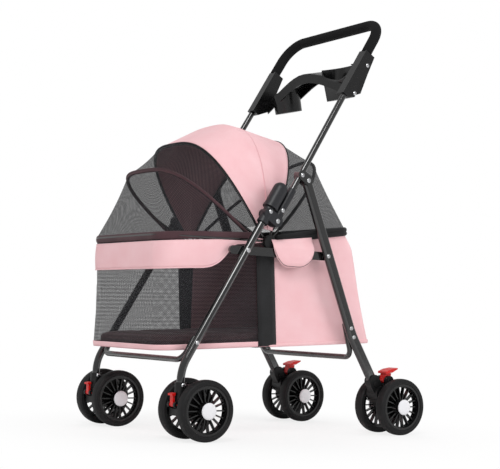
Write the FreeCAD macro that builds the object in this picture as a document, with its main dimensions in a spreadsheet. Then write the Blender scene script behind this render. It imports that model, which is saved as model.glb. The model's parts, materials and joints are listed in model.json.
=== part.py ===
"""Folding pet stroller, millimetres, +Z up.

X runs across the stroller (the left side, as its pusher sees it, is +X), Y runs from the front
(-Y) to the pusher (+Y), and Z = 0 is the floor.  Y = 0 is the middle of the overall length.
"""
import FreeCAD, Part
import math
import os
import Sketcher

from FreeCAD import Placement, Rotation, Vector

doc = FreeCAD.newDocument("pet_stroller")

# ---------------------------------------------------------------- driving dimensions
SIZES = [
    # side frame
    ("side_x", 199, "middle plane of each side frame"),
    ("grip_x", 192, "half width of the handle at its top"),
    ("fold_y", -70, "fold pivot, Y"),
    ("fold_z", 497, "fold pivot, Z"),
    ("lean_deg", 31.4, "lean of the front leg and of the handle from vertical"),
    ("tube_gap", 28.8, "front leg axis to handle axis"),
    ("leg_radius", 9, "front leg tube"),
    ("tube_wall", 1.5, "wall of every tube"),
    ("handle_radius", 7.5, "handle tube"),
    ("handle_reach", 605, "fold pivot to the top bar, along the handle"),
    ("handle_bend", 58, "bend radius of the handle's corners"),
    ("foam_radius", 13, "foam grip"),
    ("foam_reach", 98, "foam down each side of the handle, below the top bar"),
    ("hanger_reach", 132.4, "fold pivot to the rear leg's pivot, along the handle"),
    ("hanger_back", 21.5, "rear leg's pivot behind the handle axis"),
    ("rear_knee_y", 165, "bend of the rear leg, Y"),
    ("rear_knee_z", 238, "bend of the rear leg, Z"),
    ("rear_lower_deg", 31.6, "lean of the rear leg below its bend"),
    ("rear_lower_run", 165, "rear leg below its bend"),
    ("rear_leg_wide", 26, "flat-oval rear leg, along the side"),
    ("rear_leg_thick", 15, "flat-oval rear leg, across"),
    ("bar_radius", 6.5, "cross bars"),
    ("front_link_y", -147, "front pivot of the side link, Y"),
    ("rear_link_y", 84, "rear pivot of the side link, Y"),
    ("rear_link_z", 424, "rear pivot of the side link, Z"),
    ("link_thick", 6, "side link plate"),
    ("link_high", 20, "side link plate"),
    ("link_nose", 30, "side link ahead of its front pivot"),
    ("link_boss", 8, "spacer boss at the side link's rear pivot, radius"),
    ("lock_radius", 17.5, "fold lock"),
    ("lock_lip", 1, "rim at the foot of the fold lock"),
    ("lock_lip_high", 5, "rim at the foot of the fold lock"),
    ("lock_start", 17, "fold pivot to the foot of the fold lock, along the leg"),
    ("lock_long", 69, "fold lock"),
    ("leg_top", 70, "fold pivot to the top of the front leg, along it"),
    ("pin_radius", 3, "pivot pins"),
    ("rivet_radius", 2.5, "rivets"),
    ("rivet_head", 5, "rivet head radius"),
    ("head_high", 1.6, "rivet head height"),
    ("running_gap", 0.06, "radial clearance of a pin in a turning hole"),
    ("side_gap", 0.3, "clearance beside a moving piece"),
    # wheels
    ("wheel_radius", 68, "tyre"),
    ("tyre_width", 28, "tyre"),
    ("tyre_thick", 13, "tyre"),
    ("tyre_shoulder", 4, "slope of the tyre's sides at the rim"),
    ("tyre_round", 4, "rounding of the tread's edges"),
    ("rim_width", 22, "rim"),
    ("rim_wall", 5, "rim"),
    ("spoke_count", 18, "spokes in a rim"),
    ("spoke_wide", 2.6, "one spoke"),
    ("spoke_deep", 10, "one spoke"),
    ("hub_radius", 16, "wheel hub"),
    ("spoke_root", 3, "solid ring outside the wheel hub"),
    ("spoke_tip", 2, "solid ring inside the rim"),
    ("axle_radius", 4, "axles"),
    ("wheel_offset", 40, "middle of each wheel from the middle of its pair"),
    ("front_axle_y", -270, "front axle"),
    ("caster_y", -311, "caster swivel axis"),
    ("rear_axle_y", 288, "rear axle"),
    ("fork_half", 20, "half width of the wheel housings"),
    ("pedal_eye", 8, "brake pedal's eye, radius"),
    ("neck_lean", 4, "brake pedal's neck, rearward"),
    ("neck_high", 18, "brake pedal's neck, above its pivot"),
    ("plate_front", 12, "brake pedal's plate ahead of its neck"),
    ("pedal_reach", 28, "brake pedal's rear edge behind its pivot"),
    ("pedal_rise", 28, "brake pedal's rear edge above its pivot"),
    ("plate_thick", 3, "brake pedal's plate at its rear edge"),
    ("plate_wide", 32, "brake pedal's plate"),
    ("lever_pin", 2, "swivel lever's pin, radius"),
    ("lever_eye", 5, "swivel lever's eye, radius"),
    ("lever_high", 26, "swivel lever above its pin"),
    ("lever_wide", 18, "swivel lever's eye and finger plate"),
    ("lever_stem", 12, "swivel lever's stem, width"),
    ("lever_finger", 9, "swivel lever's finger plate, forward"),
    ("fork_top", 90, "top of the caster fork"),
    ("socket_high", 38, "caster socket"),
    ("socket_radius", 13, "caster socket"),
    ("socket_gap", 0.4, "caster socket above its fork"),
    ("leg_deep", 20, "foot of the front leg above the fork's top"),
    ("kingpin_radius", 5, "swivel pin of a caster"),
    ("kingpin_high", 16, "swivel pin above the fork"),
    ("rivet_drop", 6, "socket rivet below the socket's top"),
    ("axle_inset", 6, "end of an axle inside the outer face of its wheel"),
    # carrier
    ("bag_inset", 27, "side of the carrier inside the middle of the frame's legs"),
    ("bag_front", -353, "front of the carrier"),
    ("bag_low", 196, "underside of the carrier, front"),
    ("bag_low_rear", 222, "underside of the carrier, rear edge"),
    ("bag_rear", 250, "rear of the carrier at its bottom"),
    ("bag_shoulder_y", 197, "rear of the carrier where it turns in to its rim"),
    ("bag_shoulder_drop", 38, "that turn below the rear rim"),
    ("bag_rear_top", 166, "rear of the carrier at its rim"),
    ("bag_corner", 45, "front corner radius in plan"),
    ("bag_corner_rear", 25, "rear corner radius in plan"),
    ("bag_wall", 2, "fabric thickness, with its binding"),
    ("rim_front_z", 452, "carrier rim, front"),
    ("rim_rear_z", 484, "carrier rim, rear"),
    ("rim_radius", 4, "rim rod"),
    ("board_thick", 3, "base board"),
    ("mat_thick", 24, "floor mat"),
    ("hub_y", -71, "hood hub, Y"),
    ("hub_z", 449, "hood hub, Z"),
    ("boss_radius", 16, "hood hub"),
    ("boss_thick", 9, "hood hub"),
    ("boss_pin", 17, "hub pin through the ribs' eyes"),
    ("rod_inset", 1, "rim rods inside the outer face of the fabric"),
    ("rib_radius", 3, "hood ribs"),
    ("hood_skin", 1.2, "hood fabric"),
]

sheet = doc.addObject("Spreadsheet::Sheet", "Sizes")
for row, (alias, value, note) in enumerate(SIZES, start=1):
    sheet.set("A%d" % row, alias)
    sheet.set("B%d" % row, str(value))
    sheet.set("C%d" % row, note)
    sheet.setAlias("B%d" % row, alias)
doc.recompute()


def derive(alias, value, note):
    """One more cell, for a size that the side frame's geometry gives."""
    row = len(SIZES) + len(derived) + 1
    derived.append(alias)
    sheet.set("A%d" % row, alias)
    sheet.set("B%d" % row, repr(round(value, 9)))
    sheet.set("C%d" % row, note)
    sheet.setAlias("B%d" % row, alias)
    doc.recompute()


class Values:
    """Reads each cell of the sheet by its alias."""

    def __getattr__(self, alias):
        return float(sheet.get(alias))


v = Values()
derived = []
nodes = {}
derive("bag_half", v.side_x - v.bag_inset, "half width of the carrier")
derive("foam_start", v.handle_reach - v.foam_reach, "fold pivot to the end of the foam, along the handle")

# ---------------------------------------------------------------- side frame geometry
lean = math.radians(v.lean_deg)
ALONG = Vector(0, math.sin(lean), math.cos(lean))
BEHIND = Vector(0, math.cos(lean), -math.sin(lean))
X_AXIS = Vector(1, 0, 0)
FOLD = Vector(0, v.fold_y, v.fold_z)


def on_handle(along, behind=0.0, x=0.0):
    """A point measured from the fold pivot, along the handle and behind it."""
    return FOLD + ALONG * along + BEHIND * behind + X_AXIS * x


def on_leg(along, x=0.0):
    """A point of the front leg's axis, level with the same point of the handle."""
    return on_handle(along, -v.tube_gap, x)


def leg_at_y(y):
    """The front leg's straight axis where it reaches a given Y."""
    return on_leg((y - on_leg(0).y) / ALONG.y)


FRONT_LINK = Vector(0, v.front_link_y, leg_at_y(v.front_link_y).z)
REAR_LINK = Vector(0, v.rear_link_y, v.rear_link_z)
HANGER = on_handle(v.hanger_reach, v.hanger_back)
KNEE = Vector(0, v.rear_knee_y, v.rear_knee_z)
lower = math.radians(v.rear_lower_deg)
LOWER_DOWN = Vector(0, math.sin(lower), -math.cos(lower))
LOWER_BACK = Vector(0, math.cos(lower), math.sin(lower))
FRONT_AXLE = Vector(0, v.front_axle_y, v.wheel_radius)
REAR_AXLE = Vector(0, v.rear_axle_y, v.wheel_radius)
HUB = Vector(0, v.hub_y, v.hub_z)


# ---------------------------------------------------------------- helpers
def publish(label, shape, placement=None):
    """A sub-part of its own, with its label and placement."""
    piece = doc.addObject("Part::Feature", label)
    piece.Label = label
    piece.Shape = shape
    if placement is not None:
        piece.Placement = placement
    nodes[label] = piece
    return piece


def keep(label, piece):
    """Names an object of the document as a sub-part."""
    piece.Label = label
    nodes[label] = piece
    return piece


def mirrored(shape):
    return shape.mirror(Vector(0, 0, 0), X_AXIS)


def mirror_image(piece, name):
    """The same piece on the other side, kept up to date with its source."""
    image = doc.addObject("Part::Mirroring", name)
    image.Source = piece
    image.Normal = X_AXIS
    return image


def keep_pair(name, piece):
    """The +X piece is the left one; the right one is its mirror image."""
    keep(name + "_left", piece)
    keep(name + "_right", mirror_image(piece, name + "_right"))


def keep_both(label, pieces):
    """One sub-part of separate solids: the given ones and their mirror images."""
    group = doc.addObject("Part::Compound", label)
    group.Links = list(pieces) + [mirror_image(piece, piece.Name + "_image") for piece in pieces]
    keep(label, group)


ALONG_X = Rotation(Vector(0, 1, 0), 90)


def primitive(kind, name, base, turn=None, **sizes):
    """A Part primitive with its sizes and the place of its origin tied to the sheet."""
    piece = doc.addObject("Part::" + kind, name)
    for size, text in sizes.items():
        piece.setExpression(size, text)
    if turn is not None:
        piece.Placement = Placement(Vector(0, 0, 0), turn)
    for way, text in zip("xyz", base):
        piece.setExpression("Placement.Base." + way, text)
    return piece


def fused(name, pieces):
    join = doc.addObject("Part::MultiFuse", name)
    join.Shapes = pieces
    join.Refine = True
    return join


def cut_from(name, base, tool):
    rest = doc.addObject("Part::Cut", name)
    rest.Base = base
    rest.Tool = tool
    rest.Refine = True
    return rest


def plane(body, role):
    """One of a body's own origin planes."""
    return [f for f in body.Origin.OriginFeatures if f.Role == role][0]


def amount(text):
    """What an expression over the sheet comes to."""
    result = sheet.evalExpression(text)
    return float(getattr(result, "Value", result))


def outline_sketch(body, name, role, corners):
    """A closed sketch of straight lines; an expression over the sheet holds each corner."""
    sketch = body.newObject("Sketcher::SketchObject", name)
    sketch.AttachmentSupport = [(plane(body, role), "")]
    sketch.MapMode = "FlatFace"
    places = [Vector(amount(x), amount(y), 0) for x, y in corners]
    for a, b in zip(places, places[1:] + places[:1]):
        sketch.addGeometry(Part.LineSegment(a, b), False)
    for index in range(len(corners)):
        sketch.addConstraint(Sketcher.Constraint("Coincident", index, 2, (index + 1) % len(corners), 1))
    for index, (corner, place) in enumerate(zip(corners, places)):
        for way, axis, text, value in (("DistanceX", -2, corner[0], place.x),
                                       ("DistanceY", -1, corner[1], place.y)):
            if text == "0":
                sketch.addConstraint(Sketcher.Constraint("PointOnObject", index, 1, axis))
            else:
                held = sketch.addConstraint(Sketcher.Constraint(way, -1, 1, index, 1, value))
                sketch.setExpression("Constraints[%d]" % held, text)
    return sketch


def round_sketch(body, name, role, circles):
    """A sketch of circles; an expression over the sheet holds each centre and radius."""
    sketch = body.newObject("Sketcher::SketchObject", name)
    sketch.AttachmentSupport = [(plane(body, role), "")]
    sketch.MapMode = "FlatFace"
    for index, (x, y, radius) in enumerate(circles):
        centre = Vector(amount(x), amount(y), 0)
        sketch.addGeometry(Part.Circle(centre, Vector(0, 0, 1), amount(radius)), False)
        size = sketch.addConstraint(Sketcher.Constraint("Radius", index, amount(radius)))
        sketch.setExpression("Constraints[%d]" % size, radius)
        for way, axis, text, value in (("DistanceX", -2, x, centre.x), ("DistanceY", -1, y, centre.y)):
            if text == "0":
                sketch.addConstraint(Sketcher.Constraint("PointOnObject", index, 3, axis))
            else:
                held = sketch.addConstraint(Sketcher.Constraint(way, -1, 1, index, 3, value))
                sketch.setExpression("Constraints[%d]" % held, text)
    return sketch


def revolved(name, corners):
    """A body turned about its own Z axis from a section in its XZ plane."""
    body = doc.addObject("PartDesign::Body", name)
    section = outline_sketch(body, name + "_section", "XZ_Plane", corners)
    turn = body.newObject("PartDesign::Revolution", name + "_turn")
    turn.Profile = section
    turn.ReferenceAxis = (section, ["V_Axis"])
    turn.Angle = 360
    doc.recompute()
    return body


def pad(body, sketch, name, length):
    """A sketch made solid evenly to both sides of its plane."""
    block = body.newObject("PartDesign::Pad", name)
    block.Profile = sketch
    block.Midplane = True
    block.setExpression("Length", length)
    doc.recompute()
    return block


def pocket(body, sketch, name, length):
    """A sketch cut away evenly to both sides of its plane."""
    room = body.newObject("PartDesign::Pocket", name)
    room.Profile = sketch
    room.Midplane = True
    room.setExpression("Length", length)
    doc.recompute()
    return room


def publish_pair(name, shape):
    """The +X piece is the left one; the right one is its mirror image."""
    publish(name + "_left", shape)
    publish(name + "_right", mirrored(shape))


def cylinder(start, end, radius):
    return Part.makeCylinder(radius, (end - start).Length, start, end - start)


def across(centre, half, radius, x=None):
    """A cylinder along X, centred on the side frame unless x is given."""
    middle = v.side_x if x is None else x
    start = Vector(middle - half, centre.y, centre.z)
    return Part.makeCylinder(radius, 2 * half, start, X_AXIS)


def slab(points, x_low, x_high):
    """A flat plate: the outline in the Y-Z plane, from x_low to x_high."""
    corners = [Vector(x_low, p.y, p.z) for p in points]
    face = Part.Face(Part.makePolygon(corners + corners[:1]))
    return face.extrude(Vector(x_high - x_low, 0, 0))


def strip(a, b, half, x_low, x_high):
    """A plate with round ends from a to b."""
    run = (b - a).normalize()
    side = Vector(0, run.z, -run.y) * half
    plate = slab([a + side, b + side, b - side, a - side], x_low, x_high)
    middle, depth = (x_low + x_high) / 2, (x_high - x_low) / 2
    return plate.fuse([across(a, depth, half, middle), across(b, depth, half, middle)]).removeSplitter()


def route(points, radii):
    """Straight runs joined by tangent arcs."""
    edges = []
    start = points[0]
    for before, corner, after, radius in zip(points, points[1:], points[2:], radii):
        back = (before - corner).normalize()
        ahead = (after - corner).normalize()
        turn = math.pi - back.getAngle(ahead)
        reach = radius * math.tan(turn / 2)
        enter, leave = corner + back * reach, corner + ahead * reach
        inward = (back + ahead).normalize()
        top = corner + inward * (radius / math.cos(turn / 2) - radius)
        if (enter - start).Length > 1e-6:
            edges.append(Part.LineSegment(start, enter).toShape())
        edges.append(Part.Arc(enter, top, leave).toShape())
        start = leave
    edges.append(Part.LineSegment(start, points[-1]).toShape())
    return Part.Wire(edges)


def sweep(path, profile):
    return path.makePipeShell([profile], True, True)


def rod(path, radius):
    """A solid rod along a path."""
    first = path.Edges[0]
    start = first.valueAt(first.FirstParameter)
    circle = Part.Circle(start, first.tangentAt(first.FirstParameter), radius)
    return sweep(path, Part.Wire([circle.toShape()]))


def tube(path, radius):
    return rod(path, radius).cut(rod(path, radius - v.tube_wall))


def rivet(centre, x_low, x_high, shank=None):
    """A rivet or pin along X with a low round head on each end."""
    radius = v.rivet_radius if shank is None else shank
    head = radius + v.rivet_head - v.rivet_radius
    middle, half = (x_low + x_high) / 2, (x_high - x_low) / 2
    body = across(centre, half, radius, middle)
    for end, way in ((x_low, -1), (x_high, 1)):
        cap = Part.makeCone(head, head * 0.6, v.head_high, Vector(end, centre.y, centre.z), X_AXIS * way)
        body = body.fuse(cap)
    return body.removeSplitter()


def hole(centre, x_low, x_high, radius=None):
    size = v.rivet_radius if radius is None else radius
    return across(centre, (x_high - x_low) / 2, size, (x_low + x_high) / 2)


def both_sides(shapes):
    """One group of separate solids: the given ones and their mirror images."""
    return Part.makeCompound(list(shapes) + [mirrored(s) for s in shapes])


# ---------------------------------------------------------------- front legs and their cross bar
leg_out = v.side_x + v.leg_radius
leg_in = v.side_x - v.leg_radius
leg_corner = leg_at_y(v.caster_y)
leg_end = Vector(v.side_x, v.caster_y, v.fork_top + v.leg_deep)
LEG_BEND = 95
leg_path = route([on_leg(v.leg_top, v.side_x), leg_corner + X_AXIS * v.side_x, leg_end], [LEG_BEND])
KNUCKLE_RIVET = on_leg(7)
BAR_RIVET = leg_at_y(v.caster_y + 35)
SOCKET_RIVET = Vector(0, v.caster_y, v.fork_top + v.socket_high - v.rivet_drop)

front_leg = tube(leg_path, v.leg_radius)
for place in (KNUCKLE_RIVET, BAR_RIVET, SOCKET_RIVET):
    front_leg = front_leg.cut(hole(place, leg_in - 5, leg_out + 5))
front_leg = front_leg.cut(hole(FRONT_LINK, leg_in - 5, leg_out + 5, v.pin_radius))
publish_pair("front_leg", front_leg)

BAR_BEND = 24
BAR_DROP = 45
bar_x = leg_in - v.bar_radius
bar_top = BAR_RIVET + ALONG * 14
bar_low = BAR_RIVET - ALONG * BAR_DROP


def cross_bar(top, low, x):
    """A U-shaped bar: both ends run up beside the legs."""
    points = [top + X_AXIS * x, low + X_AXIS * x, low - X_AXIS * x, top - X_AXIS * x]
    return tube(route(points, [BAR_BEND, BAR_BEND]), v.bar_radius)


front_bar = cross_bar(bar_top, bar_low, bar_x)
front_bar = front_bar.cut(hole(BAR_RIVET, -leg_out, leg_out))
publish("front_crossbar", front_bar)

# ---------------------------------------------------------------- knuckles that carry the fold pivots
KNUCKLE_HALF = 12.5
KNUCKLE_EYE = 13.5
COLLAR_RADIUS = 13.2
COLLAR_FOOT, COLLAR_TOP = -24, 15
TONGUE_HALF = 5
knuckle_low, knuckle_high = v.side_x - KNUCKLE_HALF, v.side_x + KNUCKLE_HALF
slot_half = TONGUE_HALF + v.side_gap

collar = cylinder(on_leg(COLLAR_FOOT, v.side_x), on_leg(COLLAR_TOP, v.side_x), COLLAR_RADIUS)
cheeks = strip(on_leg(0), FOLD, KNUCKLE_EYE, knuckle_low, knuckle_high)
slot_front = COLLAR_RADIUS + 2 - v.tube_gap
slot = slab([on_handle(-30, slot_front), on_handle(30, slot_front), on_handle(30, 30), on_handle(-30, 30)],
            v.side_x - slot_half, v.side_x + slot_half)
knuckle = collar.fuse(cheeks).removeSplitter().cut(slot)
knuckle = knuckle.cut(cylinder(on_leg(-60, v.side_x), on_leg(60, v.side_x), v.leg_radius))
knuckle = knuckle.cut(hole(FOLD, knuckle_low - 1, knuckle_high + 1, v.pin_radius))
knuckle = knuckle.cut(hole(KNUCKLE_RIVET, knuckle_low - 9, knuckle_high + 9))
publish_pair("knuckle", knuckle)

# ---------------------------------------------------------------- sliding fold locks over the leg tops
BORE = "Sizes.leg_radius + Sizes.side_gap"
CROWN_HIGH = "Sizes.leg_top + 2 - Sizes.lock_start"
lock_body = revolved("fold_lock_left", [
    (BORE, "0"), ("Sizes.lock_radius + Sizes.lock_lip", "0"),
    ("Sizes.lock_radius + Sizes.lock_lip", "Sizes.lock_lip_high"),
    ("Sizes.lock_radius", "Sizes.lock_lip_high"),
    ("Sizes.lock_radius", "Sizes.lock_long"), ("0", "Sizes.lock_long"),
    ("0", CROWN_HIGH), (BORE, CROWN_HIGH)])
lock_turn = lock_body.Tip
top_edges = ["Edge%d" % (i + 1) for i, e in enumerate(lock_turn.Shape.Edges)
             if hasattr(e.Curve, "Radius") and abs(e.Curve.Center.z - v.lock_long) < 0.01]
dome = lock_body.newObject("PartDesign::Fillet", "lock_dome")
dome.Base = (lock_turn, top_edges)
dome.setExpression("Radius", "min(Sizes.lock_radius - 1; Sizes.lock_long + Sizes.lock_start - Sizes.leg_top)")
doc.recompute()
lock_body.Placement = Placement(on_leg(v.lock_start, v.side_x), Rotation(Vector(0, 0, 1), ALONG))
keep_pair("fold_lock", lock_body)

# ---------------------------------------------------------------- caster sockets on the front legs
SWIVEL = ("Sizes.side_x", "Sizes.caster_y")
socket_body = primitive("Cylinder", "socket_body", SWIVEL + ("Sizes.fork_top + Sizes.socket_gap",),
                        Radius="Sizes.socket_radius", Height="Sizes.socket_high - Sizes.socket_gap")
leg_seat = primitive("Cylinder", "leg_seat", SWIVEL + ("Sizes.fork_top + Sizes.leg_deep",),
                     Radius="Sizes.leg_radius", Height="Sizes.socket_high")
kingpin_bore = primitive("Cylinder", "kingpin_bore", SWIVEL + ("Sizes.fork_top",),
                         Radius="Sizes.kingpin_radius + Sizes.running_gap", Height="Sizes.kingpin_high + 1")
rivet_bore = primitive("Cylinder", "socket_rivet_bore",
                       ("Sizes.side_x - 2 * Sizes.socket_radius", "Sizes.caster_y",
                        "Sizes.fork_top + Sizes.socket_high - Sizes.rivet_drop"), ALONG_X,
                       Radius="Sizes.rivet_radius", Height="4 * Sizes.socket_radius")
socket_room = fused("socket_room", [leg_seat, kingpin_bore, rivet_bore])
keep_both("caster_sockets", [cut_from("caster_socket", socket_body, socket_room)])
socket_low_x, socket_high_x = v.side_x - v.socket_radius, v.side_x + v.socket_radius

# ---------------------------------------------------------------- handle: tube, foam, sleeves
HANDLE_FOOT = 22
TAPER_START = 160
top_bar = on_handle(v.handle_reach)
handle_points = [on_handle(HANDLE_FOOT, 0, v.side_x), on_handle(TAPER_START, 0, v.side_x),
                 top_bar + X_AXIS * v.grip_x, top_bar - X_AXIS * v.grip_x,
                 on_handle(TAPER_START, 0, -v.side_x), on_handle(HANDLE_FOOT, 0, -v.side_x)]
TAPER_BEND = 400
bends = [TAPER_BEND, v.handle_bend, v.handle_bend, TAPER_BEND]
handle_path = route(handle_points, bends)
handle_rod = rod(handle_path, v.handle_radius)
SLEEVE_RIVET = on_handle(30.5)
HANGER_RIVET = on_handle(v.hanger_reach)
handle_tube = tube(handle_path, v.handle_radius)
for place in (SLEEVE_RIVET, HANGER_RIVET):
    handle_tube = handle_tube.cut(hole(place, -v.side_x - 20, v.side_x + 20))
publish("handle_tube", handle_tube)

taper = (v.side_x - v.grip_x) / (v.handle_reach - TAPER_START)
foam_x = v.side_x - (v.foam_start - TAPER_START) * taper
foam_points = [on_handle(v.foam_start, 0, foam_x), top_bar + X_AXIS * v.grip_x,
               top_bar - X_AXIS * v.grip_x, on_handle(v.foam_start, 0, -foam_x)]
foam = rod(route(foam_points, [v.handle_bend, v.handle_bend]), v.foam_radius)
publish("foam_grip", foam.cut(handle_rod))

SLEEVE_RADIUS = 9.5
SLEEVE_START, SLEEVE_TOP = 15, 90
sleeve = cylinder(on_handle(SLEEVE_START, 0, v.side_x), on_handle(SLEEVE_TOP, 0, v.side_x), SLEEVE_RADIUS)
tongue = strip(FOLD, on_handle(SLEEVE_START + 6), SLEEVE_RADIUS - 0.5,
               v.side_x - TONGUE_HALF, v.side_x + TONGUE_HALF)
eye = across(FOLD, TONGUE_HALF, KNUCKLE_EYE - 0.5)
sleeve = sleeve.fuse([tongue, eye]).removeSplitter().cut(handle_rod)
sleeve = sleeve.cut(hole(FOLD, v.side_x - 20, v.side_x + 20, v.pin_radius + v.running_gap))
sleeve = sleeve.cut(hole(SLEEVE_RIVET, v.side_x - 20, v.side_x + 20))
publish_pair("handle_sleeve", sleeve)

# ---------------------------------------------------------------- hangers for the rear legs
leg_half = v.rear_leg_thick / 2
HANGER_PLATE = 2.5
hanger_low = v.side_x - leg_half - v.side_gap - HANGER_PLATE
hanger_high = v.side_x + leg_half + v.side_gap + HANGER_PLATE
HANGER_EYE = 12
rear_eye = v.rear_leg_wide / 2
hanger = strip(HANGER_RIVET, HANGER, HANGER_EYE, hanger_low, hanger_high)
fold_room = v.hanger_back - rear_eye + 2
room = slab([on_handle(v.hanger_reach + 60, fold_room), on_handle(v.hanger_reach, fold_room),
             on_handle(v.hanger_reach, v.hanger_back), on_handle(v.hanger_reach - 60, v.hanger_back),
             on_handle(v.hanger_reach - 60, 60), on_handle(v.hanger_reach + 60, 60)],
            v.side_x - leg_half - v.side_gap, v.side_x + leg_half + v.side_gap)
hanger = hanger.cut([room, across(HANGER, leg_half + v.side_gap, rear_eye + v.side_gap), handle_rod])
hanger = hanger.cut(hole(HANGER, hanger_low - 1, hanger_high + 1, v.pin_radius))
hanger = hanger.cut(hole(HANGER_RIVET, hanger_low - 1, hanger_high + 1))
publish("leg_hangers", both_sides([hanger]))

# ---------------------------------------------------------------- rear legs
upper_down = (KNEE - HANGER).normalize()
upper_back = Vector(0, -upper_down.z, upper_down.y)
rear_foot = KNEE + LOWER_DOWN * v.rear_lower_run
REAR_BEND = 220


def flat_oval(centre, back, wide, thick):
    """The closed outline of a flat-oval tube: thick across, wide along the side."""
    reach = (wide - thick) / 2
    side = X_AXIS * (thick / 2)
    a, b = centre - back * reach, centre + back * reach
    edges = [Part.LineSegment(a + side, b + side).toShape(),
             Part.Arc(b + side, b + back * (thick / 2), b - side).toShape(),
             Part.LineSegment(b - side, a - side).toShape(),
             Part.Arc(a - side, a - back * (thick / 2), a + side).toShape()]
    return Part.Wire(edges)


def rear_tube(start, wide, thick):
    path = route([start + X_AXIS * v.side_x, KNEE + X_AXIS * v.side_x, rear_foot + X_AXIS * v.side_x],
                 [REAR_BEND])
    return sweep(path, flat_oval(start + X_AXIS * v.side_x, upper_back, wide, thick))


rear_solid = rear_tube(HANGER, v.rear_leg_wide, v.rear_leg_thick).fuse(across(HANGER, leg_half, rear_eye))
rear_hollow = rear_tube(HANGER + upper_down * 20, v.rear_leg_wide - 2 * v.tube_wall,
                        v.rear_leg_thick - 2 * v.tube_wall)
REAR_BAR_RIVETS = [KNEE - upper_down * 18, KNEE + upper_down * 5]
HOUSING_RIVET = KNEE + LOWER_DOWN * (v.rear_lower_run - 28)
rear_leg = rear_solid.removeSplitter().cut(rear_hollow)
rear_leg = rear_leg.cut(hole(HANGER, v.side_x - 20, v.side_x + 20, v.pin_radius + v.running_gap))
for place in REAR_BAR_RIVETS + [REAR_LINK, HOUSING_RIVET]:
    rear_leg = rear_leg.cut(hole(place, v.side_x - 20, v.side_x + 20))
publish_pair("rear_leg", rear_leg)

rear_in, rear_out = v.side_x - leg_half, v.side_x + leg_half
rear_bar_x = rear_in - v.bar_radius
rear_bar_low = KNEE + Vector(0, 12, -53)
rear_bar = cross_bar(KNEE - upper_down * 30, rear_bar_low, rear_bar_x)
for place in REAR_BAR_RIVETS:
    rear_bar = rear_bar.cut(hole(place, -rear_out, rear_out))
publish("rear_crossbar", rear_bar)

# ---------------------------------------------------------------- side links
link_high_x = leg_in - v.side_gap
link_low_x = link_high_x - v.link_thick
link_run = REAR_LINK - FRONT_LINK
# The plate's own frame: X along the link from its front pivot, Z across the stroller.
derive("link_run", link_run.Length, "side link, front pivot to rear pivot")
derive("boss_run", rear_in - v.side_gap - link_high_x + v.link_thick / 2,
       "side link's boss from the plate's middle")
plate_body = doc.addObject("PartDesign::Body", "side_link_left")
pad(plate_body, outline_sketch(plate_body, "link_outline", "XY_Plane", [
    ("-Sizes.link_nose", "-Sizes.link_high / 2"), ("Sizes.link_run", "-Sizes.link_high / 2"),
    ("Sizes.link_run", "Sizes.link_high / 2"), ("-Sizes.link_nose", "Sizes.link_high / 2")]),
    "link_plate", "Sizes.link_thick")
pad(plate_body, round_sketch(plate_body, "link_ends", "XY_Plane", [
    ("-Sizes.link_nose", "0", "Sizes.link_high / 2"), ("Sizes.link_run", "0", "Sizes.link_high / 2")]),
    "link_round_ends", "Sizes.link_thick")
boss = pad(plate_body, round_sketch(plate_body, "link_boss_outline", "XY_Plane", [
    ("Sizes.link_run", "0", "Sizes.link_boss")]), "link_boss_pad", "Sizes.boss_run")
boss.Midplane = False
pocket(plate_body, round_sketch(plate_body, "link_pin_outline", "XY_Plane", [
    ("0", "0", "Sizes.pin_radius + Sizes.running_gap")]), "link_pin_bore", "2 * Sizes.link_thick")
link_way = Vector(link_run).normalize()
plate_body.Placement = Placement(FRONT_LINK + X_AXIS * (link_high_x - v.link_thick / 2),
                                 Rotation(link_way, X_AXIS.cross(link_way), X_AXIS, "ZXY"))
keep_pair("side_link", plate_body)

# ---------------------------------------------------------------- rear wheel housings and brake pedals
housing_low, housing_high = v.side_x - v.fork_half, v.side_x + v.fork_half
HOUSING_DISC = 27
SOCKET_RUN = 36
BRAKE_BELOW_KNEE, BRAKE_BEHIND_LEG = 148, 34
BRAKE_PIVOT = KNEE + LOWER_DOWN * BRAKE_BELOW_KNEE + LOWER_BACK * BRAKE_BEHIND_LEG
BRAKE_EYE = 12
BRAKE_HALF = 11
socket_start = rear_foot - LOWER_DOWN * SOCKET_RUN
SOCKET_WALL = 3
leg_socket = strip(socket_start, rear_foot + LOWER_DOWN * 6, v.rear_leg_wide / 2 + SOCKET_WALL,
                   rear_in - SOCKET_WALL, rear_out + SOCKET_WALL)
housing = across(REAR_AXLE, v.fork_half, HOUSING_DISC)
housing = housing.fuse([leg_socket, strip(BRAKE_PIVOT, REAR_AXLE, BRAKE_EYE, housing_low, housing_high),
                        strip(rear_foot, REAR_AXLE, HOUSING_DISC - 7, housing_low, housing_high)])
rear_leg_room = rear_tube(HANGER, v.rear_leg_wide, v.rear_leg_thick)
brake_room = slab([BRAKE_PIVOT + Vector(0, -BRAKE_EYE - 1, -BRAKE_EYE - 1),
                   BRAKE_PIVOT + Vector(0, 40, -BRAKE_EYE - 1),
                   BRAKE_PIVOT + Vector(0, 40, 60), BRAKE_PIVOT + Vector(0, -BRAKE_EYE - 1, 60)],
                  v.side_x - BRAKE_HALF, v.side_x + BRAKE_HALF)
housing = housing.removeSplitter().cut([rear_leg_room, brake_room])
housing = housing.cut(across(REAR_AXLE, v.fork_half + 1, v.axle_radius))
housing = housing.cut(hole(BRAKE_PIVOT, housing_low - 1, housing_high + 1, v.pin_radius))
housing = housing.cut(hole(HOUSING_RIVET, housing_low - 1, housing_high + 1))
publish_pair("rear_housing", housing)

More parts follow.
